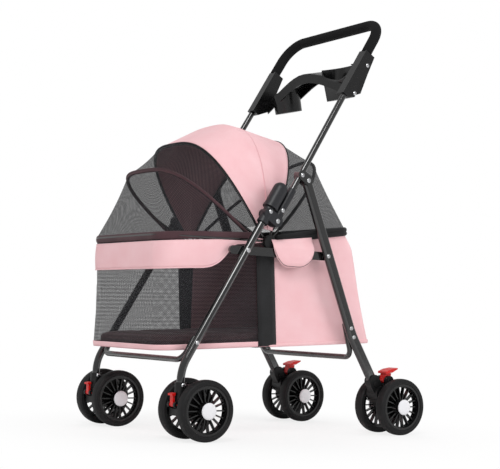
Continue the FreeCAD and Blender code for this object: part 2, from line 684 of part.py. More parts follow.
# The pedal's own frame: X to the rear, Y up and Z across the stroller, from its pivot.
ACROSS = Rotation(Vector(0, 1, 0), Vector(0, 0, 1), X_AXIS, "ZXY")
derive("pedal_wide", 2 * (BRAKE_HALF - v.side_gap),
       "brake pedal's eye and neck, between the housing's cheeks")
pedal_body = doc.addObject("PartDesign::Body", "brake_pedal_left")
pad(pedal_body, round_sketch(pedal_body, "pedal_eye_outline", "XY_Plane", [("0", "0", "Sizes.pedal_eye")]),
    "pedal_eye_pad", "Sizes.pedal_wide")
pad(pedal_body, outline_sketch(pedal_body, "pedal_neck_outline", "XY_Plane", [
    ("-Sizes.pedal_eye", "0"), ("Sizes.pedal_eye", "0"),
    ("Sizes.pedal_eye + Sizes.neck_lean", "Sizes.neck_high"),
    ("Sizes.neck_lean - Sizes.pedal_eye", "Sizes.neck_high")]), "pedal_neck", "Sizes.pedal_wide")
pad(pedal_body, outline_sketch(pedal_body, "pedal_plate_outline", "XY_Plane", [
    ("Sizes.neck_lean - Sizes.plate_front", "Sizes.neck_high - 1"),
    ("Sizes.neck_lean + Sizes.pedal_eye", "Sizes.neck_high + 2"),
    ("Sizes.pedal_reach", "Sizes.pedal_rise"), ("Sizes.pedal_reach", "Sizes.pedal_rise + Sizes.plate_thick"),
    ("Sizes.neck_lean + Sizes.pedal_eye / 2", "Sizes.neck_high + 10"),
    ("Sizes.neck_lean - Sizes.plate_front", "Sizes.neck_high + 4")]), "pedal_plate", "Sizes.plate_wide")
pocket(pedal_body, round_sketch(pedal_body, "pedal_pin_outline", "XY_Plane", [
    ("0", "0", "Sizes.pin_radius + Sizes.running_gap")]), "pedal_pin_bore", "2 * Sizes.plate_wide")
pedal_body.Placement = Placement(BRAKE_PIVOT + X_AXIS * v.side_x, ACROSS)
keep_pair("brake_pedal", pedal_body)

# ---------------------------------------------------------------- caster forks and swivel locks
fork_low, fork_high = v.side_x - v.fork_half, v.side_x + v.fork_half
KINGPIN = Vector(v.side_x, v.caster_y, v.fork_top)
PIVOT_Z = 80
LOCK_PIVOT = Vector(0, v.caster_y - v.socket_radius - 4, PIVOT_Z)
fork = across(FRONT_AXLE, v.fork_half, HOUSING_DISC)
FORK_LOW = 56
LOBE_Z = 108
LOBE_EYE = 15
lobe = Vector(0, v.caster_y + v.socket_radius + LOBE_EYE + 3, LOBE_Z)
fork = fork.fuse([
    slab([Vector(0, v.caster_y - 15, FORK_LOW), Vector(0, v.front_axle_y, FORK_LOW),
          Vector(0, v.front_axle_y, v.fork_top), Vector(0, v.caster_y - 15, v.fork_top)],
         fork_low, fork_high),
    strip(lobe, FRONT_AXLE, LOBE_EYE, fork_low, fork_high),
    strip(LOCK_PIVOT, Vector(0, v.caster_y, PIVOT_Z - 6), 7, fork_low + 4, fork_high - 4),
    cylinder(KINGPIN - Vector(0, 0, 10), KINGPIN + Vector(0, 0, v.kingpin_high), v.kingpin_radius)])
LEVER_HALF = v.lever_wide / 2
lever_room = slab([LOCK_PIVOT + Vector(0, -12, -9), LOCK_PIVOT + Vector(0, 8.5, -9),
                   LOCK_PIVOT + Vector(0, 8.5, 30),
                   LOCK_PIVOT + Vector(0, -12, 30)], v.side_x - LEVER_HALF - v.side_gap,
                  v.side_x + LEVER_HALF + v.side_gap)
fork = fork.removeSplitter().cut(lever_room)
fork = fork.cut(across(FRONT_AXLE, v.fork_half + 1, v.axle_radius))
fork = fork.cut(hole(LOCK_PIVOT, fork_low - 1, fork_high + 1, v.lever_pin + v.running_gap))
publish_pair("caster_fork", fork)

derive("lever_pin_long", 2 * (v.fork_half - 5), "swivel lever's pin, inside the fork")
lever_body = doc.addObject("PartDesign::Body", "swivel_lock_left")
pad(lever_body, round_sketch(lever_body, "lever_eye_outline", "XY_Plane", [("0", "0", "Sizes.lever_eye")]),
    "lever_eye_pad", "Sizes.lever_wide")
pad(lever_body, outline_sketch(lever_body, "lever_stem_outline", "XY_Plane", [
    ("-Sizes.lever_eye", "0"), ("0", "0"), ("0", "Sizes.lever_high - 2"),
    ("-Sizes.lever_eye", "Sizes.lever_high - 2")]), "lever_stem_pad", "Sizes.lever_stem")
pad(lever_body, outline_sketch(lever_body, "lever_finger_outline", "XY_Plane", [
    ("-Sizes.lever_finger", "Sizes.lever_high - 6"), ("0", "Sizes.lever_high - 6"), ("0", "Sizes.lever_high"),
    ("-Sizes.lever_finger", "Sizes.lever_high - 2")]), "lever_finger_pad", "Sizes.lever_wide")
pad(lever_body, round_sketch(lever_body, "lever_pin_outline", "XY_Plane", [("0", "0", "Sizes.lever_pin")]),
    "lever_pin_pad", "Sizes.lever_pin_long")
lever_body.Placement = Placement(LOCK_PIVOT + X_AXIS * v.side_x, ACROSS)
keep_pair("swivel_lock", lever_body)

axle_half = v.wheel_offset + v.tyre_width / 2 - v.axle_inset
AXLE_LONG = "2 * Sizes.wheel_offset + Sizes.tyre_width - 2 * Sizes.axle_inset"
AXLE_FOOT = "Sizes.side_x - Sizes.wheel_offset - Sizes.tyre_width / 2 + Sizes.axle_inset"
caster_axle = primitive("Cylinder", "caster_axle_left",
                        (AXLE_FOOT, "Sizes.front_axle_y", "Sizes.wheel_radius"),
                        ALONG_X, Radius="Sizes.axle_radius", Height=AXLE_LONG)
keep_pair("caster_axle", caster_axle)
rear_axle = primitive("Cylinder", "rear_axle", (AXLE_FOOT, "Sizes.rear_axle_y", "Sizes.wheel_radius"),
                      ALONG_X, Radius="Sizes.axle_radius", Height=AXLE_LONG)
keep_both("rear_axles", [rear_axle])

# ---------------------------------------------------------------- pins and rivets, grouped by body
publish("front_rivets", both_sides([
    rivet(FOLD, knuckle_low, knuckle_high, v.pin_radius),
    rivet(KNUCKLE_RIVET, v.side_x - COLLAR_RADIUS, v.side_x + COLLAR_RADIUS),
    rivet(FRONT_LINK, link_low_x - v.side_gap, leg_out, v.pin_radius),
    rivet(BAR_RIVET, bar_x - v.bar_radius, leg_out),
    rivet(SOCKET_RIVET, socket_low_x, socket_high_x)]))

TRAY_LONG = 132
TRAY_TOP = v.foam_start - 1
TRAY_LOW = TRAY_TOP - TRAY_LONG
BRACKET_IN, BRACKET_OUT = 14, 13
tray_screws = [on_handle(TRAY_TOP - 30, 14), on_handle(TRAY_LOW + 20, 20)]
bracket_low, bracket_high = v.grip_x - BRACKET_IN, v.grip_x + BRACKET_OUT
SCREW_DEEP = 5
publish("handle_rivets", both_sides([
    rivet(SLEEVE_RIVET, v.side_x - SLEEVE_RADIUS, v.side_x + SLEEVE_RADIUS),
    rivet(HANGER_RIVET, hanger_low, hanger_high),
    rivet(HANGER, hanger_low, hanger_high, v.pin_radius)]
    + [rivet(place, bracket_high - SCREW_DEEP, bracket_high).cut(
        hole(place, bracket_high - SCREW_DEEP - 3, bracket_high - SCREW_DEEP, 20)) for place in tray_screws]))

link_rivet = rivet(REAR_LINK, rear_in, rear_out)
link_rivet = link_rivet.cut(hole(REAR_LINK, rear_in - 3, rear_in, 20))
publish("rear_rivets", both_sides([
    link_rivet,
    rivet(HOUSING_RIVET, rear_in - 4, rear_out + 4),
    rivet(BRAKE_PIVOT, housing_low, housing_high, v.pin_radius)]
    + [rivet(place, rear_bar_x - v.bar_radius, rear_out) for place in REAR_BAR_RIVETS]))

# ---------------------------------------------------------------- cup tray between the handle tubes
# The tray is drawn level about its own middle, and tipped forward as one moulding at the end.
TRAY_WALL = 3
TRAY_TIP = 13
DECK_HALF, DECK_RISE, DECK_SHIFT = 37, 33, 23.5
SKIRT_DEEP = 24
END_X = bracket_low + 2
# distance from the middle, and the deck's drop below its crown there
ARCH = [(0, 0), (20, 1), (45, 6), (68, 13), (100, 25), (135, 39), (END_X, 58)]
arch = [(-x, -drop) for x, drop in reversed(ARCH[1:])] + [(x, -drop) for x, drop in ARCH]


def arch_plate(above, below, front, back):
    """A slice under or over the arched deck, from front to back."""
    outline = [Vector(x, front, z + above) for x, z in arch]
    outline += [Vector(x, front, z - below) for x, z in reversed(arch)]
    return Part.Face(Part.makePolygon(outline + outline[:1])).extrude(Vector(0, back - front, 0))


def round_outline(middle, length, width, corner):
    """A level rounded rectangle about its middle."""
    arcs = []
    for turn, (x, y) in enumerate([(1, 1), (-1, 1), (-1, -1), (1, -1)]):
        centre = middle + Vector(x * (length / 2 - corner), y * (width / 2 - corner), 0)
        arcs.append(Part.makeCircle(corner, centre, Vector(0, 0, 1), 90 * turn, 90 * turn + 90))
    runs = [Part.makeLine(one.valueAt(one.LastParameter), other.valueAt(other.FirstParameter))
            for one, other in zip(arcs, arcs[1:] + arcs[:1])]
    return Part.Wire([edge for pair in zip(arcs, runs) for edge in pair])


CUP_X, CUP_Y, CUP_DEEP = 46 - bracket_low, -3, 88
CUP_LOW_RADIUS, CUP_TOP_RADIUS = 35.5, 38
cup_low = Vector(CUP_X, CUP_Y, -CUP_DEEP)
cup = Part.makeCone(CUP_LOW_RADIUS, CUP_TOP_RADIUS, CUP_DEEP, cup_low)
cup_room = Part.makeCone(CUP_LOW_RADIUS - TRAY_WALL, CUP_TOP_RADIUS - TRAY_WALL, CUP_DEEP,
                         cup_low + Vector(0, 0, TRAY_WALL))

# top and bottom of the bin: middle, length, width and corner radius
BIN_DEEP = 80
BIN_TOP = (Vector(bracket_low - 66, 0, 0), 112, 76, 30)
BIN_LOW = (Vector(bracket_low - 78, -9, -BIN_DEEP), 84, 46, 22)


def bin_block(inset, raised):
    """The tapered bin, its wall's thickness smaller, and its floor raised."""
    lift = Vector(0, 0, raised)
    ends = [round_outline(middle + lift, length - 2 * inset, width - 2 * inset, corner - inset)
            for middle, length, width, corner in (BIN_LOW, BIN_TOP)]
    return Part.makeLoft(ends, True, True)


DIP_X, DIP_DEEP, DIP_RADIUS, DIP_SLOPE = bracket_low - 28, 39.5, 222, math.radians(45)
DIP_RUN = 90
dip_along = Vector(0, math.cos(DIP_SLOPE), math.sin(DIP_SLOPE))
dip_up = Vector(0, -math.sin(DIP_SLOPE), math.cos(DIP_SLOPE))
dip_foot = Vector(DIP_X, -BIN_TOP[2] / 2, -DIP_DEEP) + dip_up * DIP_RADIUS - dip_along * DIP_RUN / 2
dip = Part.makeCylinder(DIP_RADIUS, DIP_RUN, dip_foot, dip_along)
ends_cut = [(END_X, -DECK_HALF), (END_X, -5), (150, 25), (120, DECK_HALF)]
plan = [Vector(x, y, -CUP_DEEP) for x, y in ends_cut]
plan += [Vector(-x, y, -CUP_DEEP) for x, y in reversed(ends_cut)]
plan = Part.Face(Part.makePolygon(plan + plan[:1])).extrude(Vector(0, 0, 2 * CUP_DEEP))
deck = arch_plate(0, 4, -DECK_HALF, DECK_HALF)
deck = deck.fuse([arch_plate(0, SKIRT_DEEP, -DECK_HALF, TRAY_WALL - DECK_HALF),
                  arch_plate(0, SKIRT_DEEP, DECK_HALF - TRAY_WALL, DECK_HALF)]).common(plan)
over_bin = Part.Face(round_outline(BIN_TOP[0], BIN_TOP[1] - 2 * TRAY_WALL, BIN_TOP[2] - 2 * TRAY_WALL,
                                   BIN_TOP[3] - TRAY_WALL)).extrude(Vector(0, 0, 2 * TRAY_WALL))
tray = deck.fuse([cup.cut(arch_plate(CUP_DEEP, 0, -CUP_DEEP, CUP_DEEP)), bin_block(0, 0)])
tray = tray.cut([cup_room, bin_block(TRAY_WALL, TRAY_WALL), over_bin, dip])
tray_middle = on_handle(TRAY_LOW + TRAY_LONG / 2) + Vector(0, DECK_SHIFT, DECK_RISE)
tray.rotate(Vector(), X_AXIS, TRAY_TIP)
tray.translate(tray_middle)
bracket = slab([on_handle(TRAY_LOW, -10), on_handle(TRAY_TOP, -10), on_handle(TRAY_TOP, 20),
                on_handle(TRAY_TOP - 50, 26), on_handle(TRAY_LOW + 30, 34), on_handle(TRAY_LOW, 10)],
               bracket_low, bracket_high)
tray = tray.fuse([bracket, mirrored(bracket)]).removeSplitter().cut(handle_rod)
for place in tray_screws:
    tray = tray.cut([hole(place, bracket_high - SCREW_DEEP, bracket_high + 1),
                     hole(place, -bracket_high - 1, -bracket_high + SCREW_DEEP)])
publish("cup_tray", tray)

# ---------------------------------------------------------------- wheels
axle_bore = v.axle_radius + v.running_gap
HUB_IN = v.wheel_offset - v.fork_half - v.side_gap
BORE_END = axle_half - v.wheel_offset + 0.5
rim_outer = v.wheel_radius - v.tyre_thick
rim_inner = rim_outer - v.rim_wall


RIM_OUT = "Sizes.wheel_radius - Sizes.tyre_thick"
RIM_IN = "Sizes.wheel_radius - Sizes.tyre_thick - Sizes.rim_wall"
SIDE = "Sizes.tyre_width / 2"
tyre_body = revolved("tyre_master", [
    (RIM_OUT, "-Sizes.tyre_width / 2 + 2"), (RIM_OUT, "Sizes.tyre_width / 2 - 2"),
    (RIM_OUT + " + Sizes.tyre_shoulder", SIDE), ("Sizes.wheel_radius - 3", SIDE),
    ("Sizes.wheel_radius", "Sizes.tyre_width / 2 - 3"), ("Sizes.wheel_radius", "-Sizes.tyre_width / 2 + 3"),
    ("Sizes.wheel_radius - 3", "-" + SIDE), (RIM_OUT + " + Sizes.tyre_shoulder", "-" + SIDE)])
tyre_turn = tyre_body.Tip
outer_edges = ["Edge%d" % (i + 1) for i, e in enumerate(tyre_turn.Shape.Edges)
               if hasattr(e.Curve, "Radius") and abs(e.Curve.Radius - v.wheel_radius) < 0.01]
crown = tyre_body.newObject("PartDesign::Fillet", "tyre_crown")
crown.Base = (tyre_turn, outer_edges)
crown.setExpression("Radius", "Sizes.tyre_round")
doc.recompute()

derive("hub_inner_face", HUB_IN, "wheel hub's inner face from the wheel's middle")
derive("bore_end", BORE_END, "blind end of the axle's bore from the wheel's middle")
BORE = "Sizes.axle_radius + Sizes.running_gap"
WEB = "Sizes.spoke_deep / 2"
LIP = "Sizes.rim_width / 2"
rim_body = revolved("rim_master", [
    ("0", "Sizes.bore_end"), ("0", SIDE), ("Sizes.hub_radius", SIDE), ("Sizes.hub_radius", WEB),
    (RIM_IN, WEB),
    (RIM_IN, LIP), (RIM_OUT, LIP), (RIM_OUT, "-" + LIP), (RIM_IN, "-" + LIP), (RIM_IN, "-" + WEB),
    ("Sizes.hub_radius", "-" + WEB), ("Sizes.hub_radius", "-Sizes.hub_inner_face"),
    (BORE, "-Sizes.hub_inner_face"), (BORE, "Sizes.bore_end")])
share = math.pi / v.spoke_count
gap_low, gap_high = v.hub_radius + v.spoke_root, rim_inner - v.spoke_tip
angle_low = share - math.asin(v.spoke_wide / 2 / gap_low)
angle_high = share - math.asin(v.spoke_wide / 2 / gap_high)
derive("gap_low_x", gap_low * math.cos(angle_low), "gap between two spokes, inner corners")
derive("gap_low_y", gap_low * math.sin(angle_low), "gap between two spokes, inner corners")
derive("gap_high_x", gap_high * math.cos(angle_high), "gap between two spokes, outer corners")
derive("gap_high_y", gap_high * math.sin(angle_high), "gap between two spokes, outer corners")
gap_sketch = outline_sketch(rim_body, "spoke_gap", "XY_Plane", [
    ("Sizes.gap_low_x", "-Sizes.gap_low_y"), ("Sizes.gap_high_x", "-Sizes.gap_high_y"),
    ("Sizes.gap_high_x", "Sizes.gap_high_y"), ("Sizes.gap_low_x", "Sizes.gap_low_y")])
gap_cut = pocket(rim_body, gap_sketch, "spoke_gap_cut", "3 * Sizes.spoke_deep")
gaps = rim_body.newObject("PartDesign::PolarPattern", "spoke_gaps")
gaps.Originals = [gap_cut]
gaps.Axis = (gap_sketch, ["N_Axis"])
gaps.Angle = 360
gaps.setExpression("Occurrences", "Sizes.spoke_count")
rim_body.Tip = gaps
doc.recompute()

for end, axle in (("front", FRONT_AXLE), ("rear", REAR_AXLE)):
    for side, sign in (("left", 1), ("right", -1)):
        for place, out in (("outer", 1), ("inner", -1)):
            centre = Vector(sign * (v.side_x + out * v.wheel_offset), axle.y, axle.z)
            facing = Placement(centre, Rotation(Vector(0, 1, 0), 90 * sign * out))
            name = "%s_%s_%s" % (end, side, place)
            publish("tyre_" + name, tyre_body.Shape, facing)
            publish("rim_" + name, rim_body.Shape, facing)

# ---------------------------------------------------------------- carrier: bag, board and mat
RIM_SEAT = 0.3
rim_low = v.rim_front_z - v.rim_radius - RIM_SEAT
rim_low_rear = v.rim_rear_z - v.rim_radius - RIM_SEAT


def underside(rise):
    """The carrier's underside, rising to the rear, raised by a thickness."""
    return [Vector(0, v.bag_front, v.bag_low + rise), Vector(0, v.bag_rear, v.bag_low_rear + rise)]


def bag_solid(inset, raised):
    """The carrier's outer form, drawn in by a wall and optionally carried up past its rim."""
    front, rear = underside(inset)
    shoulder = Vector(0, v.bag_shoulder_y - inset, v.rim_rear_z - v.bag_shoulder_drop)
    rim_end = Vector(0, v.bag_rear_top - inset, rim_low_rear)
    half = v.bag_half - inset
    corners = [front + Vector(0, inset, 0), rear + Vector(0, -inset, 0), shoulder,
               rim_end + (rim_end - shoulder).normalize() * raised,
               Vector(0, v.hub_y, rim_low + raised), Vector(0, v.bag_front + inset, rim_low + raised)]
    block = slab(corners, -half, half)
    upright = [e for e in block.Edges if abs(e.tangentAt(e.FirstParameter).z) > 0.6]
    block = block.makeFillet(v.bag_corner - inset, [e for e in upright if e.CenterOfMass.y < v.hub_y])
    upright = [e for e in block.Edges if abs(e.tangentAt(e.FirstParameter).z) > 0.6
               and e.CenterOfMass.y > v.hub_y and abs(abs(e.CenterOfMass.x) - half) < 0.01]
    return block.makeFillet(v.bag_corner_rear - inset, upright)


def layer(low, high):
    return slab(underside(low) + list(reversed(underside(high))), -v.bag_half, v.bag_half)


bag = bag_solid(0, 0).cut(bag_solid(v.bag_wall, 60))
HUB_NOTCH = 9
bag = bag.cut([hole(HUB, v.bag_half - 6, v.bag_half + 6, HUB_NOTCH),
               hole(HUB, -v.bag_half - 6, -v.bag_half + 6, HUB_NOTCH)])
publish("carrier_bag", bag)
board_top = v.bag_wall + v.board_thick
publish("base_board", bag_solid(v.bag_wall, 60).common(layer(v.bag_wall, board_top)))
publish("floor_mat", bag_solid(v.bag_wall + 1, 60).common(layer(board_top, board_top + v.mat_thick)))

# ---------------------------------------------------------------- carrier rim rods and hood hubs
rim_x = v.bag_half - v.rod_inset
hub_in = rim_x + v.rim_radius
front_rim = route([Vector(rim_x, v.hub_y - v.boss_radius, v.rim_front_z),
                   Vector(rim_x, v.bag_front + v.rod_inset, v.rim_front_z),
                   Vector(-rim_x, v.bag_front + v.rod_inset, v.rim_front_z),
                   Vector(-rim_x, v.hub_y - v.boss_radius, v.rim_front_z)], [v.bag_corner, v.bag_corner])
rim_rise = (v.rim_rear_z - v.rim_front_z) / (v.bag_rear_top - v.hub_y)
rim_start_z = v.rim_front_z + rim_rise * v.boss_radius
rear_rim = route([Vector(rim_x, v.hub_y + v.boss_radius, rim_start_z),
                  Vector(rim_x, v.bag_rear_top - v.rod_inset, v.rim_rear_z),
                  Vector(-rim_x, v.bag_rear_top - v.rod_inset, v.rim_rear_z),
                  Vector(-rim_x, v.hub_y + v.boss_radius, rim_start_z)],
                 [v.bag_corner_rear, v.bag_corner_rear])
publish("rim_rods", Part.makeCompound([rod(front_rim, v.rim_radius), rod(rear_rim, v.rim_radius)]))

link_top = FRONT_LINK.z + v.link_high / 2
derive("seat_z", link_top + v.side_gap, "flat foot of the hood hub, just over the side link")
BOSS_FOOT = "Sizes.bag_half - Sizes.rod_inset + Sizes.rim_radius"
boss_round = primitive("Cylinder", "hub_round", (BOSS_FOOT, "Sizes.hub_y", "Sizes.hub_z"), ALONG_X,
                       Radius="Sizes.boss_radius", Height="Sizes.boss_thick")
boss_room = primitive("Box", "hub_foot_room",
                      (BOSS_FOOT + " - 1", "Sizes.hub_y - 2 * Sizes.boss_radius",
                       "Sizes.seat_z - 2 * Sizes.boss_radius"),
                      Length="Sizes.boss_thick + 2", Width="4 * Sizes.boss_radius",
                      Height="2 * Sizes.boss_radius")
boss_spindle = primitive("Cylinder", "hub_spindle",
                         (BOSS_FOOT + " - Sizes.boss_pin", "Sizes.hub_y", "Sizes.hub_z"),
                         ALONG_X, Radius="Sizes.pin_radius", Height="Sizes.boss_pin + 1")
keep_both("hood_hubs", [fused("hood_hub", [cut_from("hub_block", boss_round, boss_room), boss_spindle])])

# ---------------------------------------------------------------- hood ribs and fabric
FRONT_RIB_X = hub_in - 15.5
MIDDLE_RIB_X = hub_in - 9.5
REAR_RIB_X = hub_in - v.rib_radius
RIB_EYE = 6
# tilt from vertical in degrees, reach from the hubs, fullness of the curve, half width
FRONT_RIB = (-52.9, 273.5, 3.45, FRONT_RIB_X + 4.5)
FRONT_HEEL = Vector(0, -19, -6)
MIDDLE_RIB = (-35, 280, 3.2, MIDDLE_RIB_X)
REAR_RIB = (24, 286, 2.2, REAR_RIB_X)
LAST_RIB = (46, 318, 1.95, REAR_RIB_X)
RIB_STEPS = 14


def bow(tilt, reach, fullness, half, start, lift=0.0, heel=Vector(), eye=None):
    """Points of a rounded bow over the carrier, in a plane through the hubs or a heel's length from it."""
    angle = math.radians(tilt)
    power = 2 / fullness
    flat = []
    for step in range(1, RIB_STEPS):
        turn = math.pi * step / RIB_STEPS
        sideways = half * abs(math.cos(turn)) ** power * (1 if turn < math.pi / 2 else -1)
        outward = reach * math.sin(turn) ** power
        if outward > start + 5:
            flat.append((sideways, outward))
    end = half if eye is None else eye
    ends = [HUB + Vector(x, start * math.sin(angle), start * math.cos(angle) + lift) for x in (end, -end)]
    middle = [HUB + heel + Vector(x, out * math.sin(angle), out * math.cos(angle) + lift) for x, out in flat]
    return [ends[0]] + middle + [ends[1]]


def smooth_route(points):
    """A path through the points' corners with each arc as large as its runs allow."""
    radii = []
    for before, corner, after in zip(points, points[1:], points[2:]):
        turn = (corner - before).getAngle(after - corner)
        radii.append(0.45 * min((corner - before).Length, (after - corner).Length) / math.tan(turn / 2))
    return route(points, radii)


def rib(shape, start, **bend):
    return rod(smooth_route(bow(*shape, start=start, **bend)), v.rib_radius)


def hinged_rib(shape, eye, **bend):
    """A rib whose flat ends turn on the hub pins."""
    eyes = [hole(HUB, x - 2.5, x + 2.5, RIB_EYE) for x in (eye, -eye)]
    bores = [hole(HUB, x - 4, x + 4, v.pin_radius + v.running_gap) for x in (eye, -eye)]
    return rib(shape, 5, eye=eye, **bend).fuse(eyes).removeSplitter().cut(bores)


publish("hood_rib_front", hinged_rib(FRONT_RIB, FRONT_RIB_X, heel=FRONT_HEEL))
publish("hood_rib_middle", hinged_rib(MIDDLE_RIB, MIDDLE_RIB_X))
publish("hood_ribs_rear", Part.makeCompound([rib(REAR_RIB, 8), rib(LAST_RIB, 8)]))

SKIN_START = 22
SKIN_CLEAR = 0.7
skin_gap = v.rib_radius + SKIN_CLEAR


def skin_section(shape, shift=0.0, lift=0.0, clear=0.0, start=SKIN_START, heel=Vector()):
    """A closed band: the fabric's cross-section over one rib."""
    tilt, reach, fullness, half = shape
    reach += clear
    thick = skin_gap + v.hood_skin
    inner = bow(tilt + shift, reach + skin_gap, fullness, half + skin_gap, start, lift, heel)
    outer = bow(tilt + shift, reach + thick, fullness, half + thick, start, lift, heel)
    loop = outer + list(reversed(inner))
    return Part.makePolygon(loop + loop[:1])


def skin(sections):
    return Part.makeLoft(sections, True, True)


rim_half_width = v.bag_half - skin_gap
FRONT_EDGE = (-90, v.hub_y - v.bag_front - skin_gap, 8, rim_half_width)
rear_reach = math.hypot(v.bag_rear_top - v.hub_y, v.rim_rear_z - v.hub_z)
rear_tilt = math.degrees(math.atan2(v.bag_rear_top - v.hub_y, v.rim_rear_z - v.hub_z))
BACK_EDGE = (rear_tilt, rear_reach - skin_gap, 7, rim_half_width)
CROWN = (-10, 291.5, 2.9, (MIDDLE_RIB_X + REAR_RIB_X) / 2)
front_lift = v.rim_front_z + v.rim_radius - v.hub_z + 1
publish("hood_mesh_front", skin([skin_section(FRONT_EDGE, lift=front_lift),
                                 skin_section(FRONT_RIB, heel=FRONT_HEEL),
                                 skin_section(MIDDLE_RIB, -1.2)]))
publish("hood_canopy", skin([skin_section(MIDDLE_RIB, -0.6), skin_section(CROWN),
                             skin_section(REAR_RIB, -0.3)]))
publish("hood_mesh_rear", skin([skin_section(REAR_RIB, 0.6), skin_section(LAST_RIB, clear=1.0),
                                skin_section(BACK_EDGE, lift=v.rim_radius + 4)]))

# ---------------------------------------------------------------- check and write
doc.recompute()
for item in doc.Objects:
    if "Invalid" in item.State or "Error" in item.State:
        raise RuntimeError("%s failed: %s" % (item.Name, item.State))
for label, piece in nodes.items():
    shape = piece.Shape
    if shape.isNull() or not shape.isValid() or shape.Volume < 1:
        raise RuntimeError("%s has no sound shape" % label)

os.makedirs("parts", exist_ok=True)
for label, piece in nodes.items():
    piece.Shape.exportStep("parts/%s.step" % label)
print("%d sub-parts" % len(nodes))
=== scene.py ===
# %% [markdown]
# # A folding pet stroller
# The stroller is a black steel frame on four pairs of wheels, with a fabric carrier hung in it:
# net in front, woven fabric behind, and a hood of nets and a pink canopy on bow-shaped ribs.
# The engineering model gives every tube, pivot and wheel its place. This lesson dresses it: first
# the camera and the finishes, then the wheels, then the fabric, sheet by sheet, and last the cup
# tray, the caps, the floor mat and the studio.

# %% The frame, and the numbers that everything else starts from
import json
import math

import bmesh
import bpy
import mathutils
from mathutils import Matrix, Vector


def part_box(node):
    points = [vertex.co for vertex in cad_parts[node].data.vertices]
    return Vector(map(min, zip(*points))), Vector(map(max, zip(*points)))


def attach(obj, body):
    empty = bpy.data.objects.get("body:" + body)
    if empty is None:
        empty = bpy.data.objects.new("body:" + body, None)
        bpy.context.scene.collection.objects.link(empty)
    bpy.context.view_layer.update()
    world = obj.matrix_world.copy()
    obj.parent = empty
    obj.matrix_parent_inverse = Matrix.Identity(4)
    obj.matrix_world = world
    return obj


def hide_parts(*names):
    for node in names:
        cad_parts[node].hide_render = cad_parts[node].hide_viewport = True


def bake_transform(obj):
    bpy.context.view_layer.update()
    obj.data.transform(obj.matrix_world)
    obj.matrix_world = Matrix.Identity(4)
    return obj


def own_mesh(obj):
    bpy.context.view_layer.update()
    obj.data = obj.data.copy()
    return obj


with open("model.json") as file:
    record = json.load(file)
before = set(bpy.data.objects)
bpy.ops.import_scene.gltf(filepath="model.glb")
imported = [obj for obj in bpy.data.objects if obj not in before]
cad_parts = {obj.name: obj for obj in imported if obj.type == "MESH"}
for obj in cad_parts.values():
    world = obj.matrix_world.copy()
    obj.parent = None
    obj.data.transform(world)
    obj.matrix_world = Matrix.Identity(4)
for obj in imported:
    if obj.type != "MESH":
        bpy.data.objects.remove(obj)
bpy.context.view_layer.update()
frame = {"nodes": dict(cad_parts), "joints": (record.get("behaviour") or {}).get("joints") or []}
JOINTS = {joint["name"]: joint for joint in frame["joints"]}
HUB = Vector(JOINTS["hood_open"]["pos_m"])
MM = 0.001
# the stroller's left is towards +X, its front towards -Y
SIDES = {"left": 1, "right": -1}

# %% [markdown]
# ## Camera
# The stroller is seen from its left and a little from the front, from a height level with the
# lower part of the carrier. A long lens keeps its sides nearly parallel.

# %% The camera
LENS, SENSOR = 91.88, 36.0
CAMERA_PLACE = (2.59919, -1.77365, 0.27956)
CAMERA_RIGHT = Vector((0.5642, 0.8251, 0.0297)).normalized()
CAMERA_AHEAD = Vector((-0.8249, 0.5618, 0.0629)).normalized()
camera_data = bpy.data.cameras.new("camera")
camera_data.lens = LENS
camera_data.sensor_width = SENSOR
camera_data.clip_end = 50
camera = bpy.data.objects.new("camera", camera_data)
bpy.context.scene.collection.objects.link(camera)
camera_up = CAMERA_RIGHT.cross(CAMERA_AHEAD).normalized()
camera_turn = Matrix((CAMERA_RIGHT, camera_up, -CAMERA_AHEAD)).transposed()
camera.matrix_world = Matrix.Translation(CAMERA_PLACE) @ camera_turn.to_4x4()
bpy.context.scene.camera = camera
print("camera: %.0f mm lens" % LENS)

# %% [markdown]
# ## Tools of the workshop
# Only a few helpers are needed: one that turns a written colour into linear light, one that adds
# a shader node with its settings and links, one that starts a material, one that gives a sheet
# its thickness, and two that turn a finished bmesh into a piece, which may ride on a body.

# %% Colours and shader nodes
def linear(code):
    """An sRGB hex colour as linear red, green, blue and alpha."""
    parts = [int(code[i:i + 2], 16) / 255 for i in (0, 2, 4)]
    return tuple(c / 12.92 if c <= 0.04045 else ((c + 0.055) / 1.055) ** 2.4 for c in parts) + (1.0,)


def add_node(tree, kind, values=None, links=None, **settings):
    """One node, with the values and the links of its sockets, and its settings."""
    node = tree.nodes.new(kind)
    for name, value in settings.items():
        setattr(node, name, value)
    for name, value in (values or {}).items():
        node.inputs[name].default_value = value
    for name, source in (links or {}).items():
        tree.links.new(source, node.inputs[name])
    return node


def finish(name, colour, roughness, **sockets):
    """A material with one Principled shader, and its tree to build on."""
    material = bpy.data.materials.new(name)
    material.use_nodes = True
    tree = material.node_tree
    shader = tree.nodes["Principled BSDF"]
    shader.inputs["Base Color"].default_value = linear(colour)
    shader.inputs["Roughness"].default_value = roughness
    for socket, value in sockets.items():
        shader.inputs[socket.replace("_", " ")].default_value = value
    return material, tree, shader


# %% Pieces
def thicken(piece, depth, inner):
    """A wall behind a sheet; inner is the material step of its second side."""
    modifier = piece.modifiers.new("thickness", "SOLIDIFY")
    modifier.thickness = depth
    modifier.offset = -1.0
    modifier.material_offset = inner
    modifier.material_offset_rim = inner


def make_piece(name, bm, materials, slot=None, depth=0.0, smooth=True):
    """A finished bmesh as an object at the origin; with a depth, a sheet gets a second side."""
    mesh = bpy.data.meshes.new(name)
    bm.to_mesh(mesh)
    bm.free()
    for material in materials:
        mesh.materials.append(material)
    for face in mesh.polygons:
        face.use_smooth = smooth
    piece = bpy.data.objects.new(name, mesh)
    bpy.context.scene.collection.objects.link(piece)
    if depth:
        thicken(piece, depth, len(materials) - 1)
    return piece


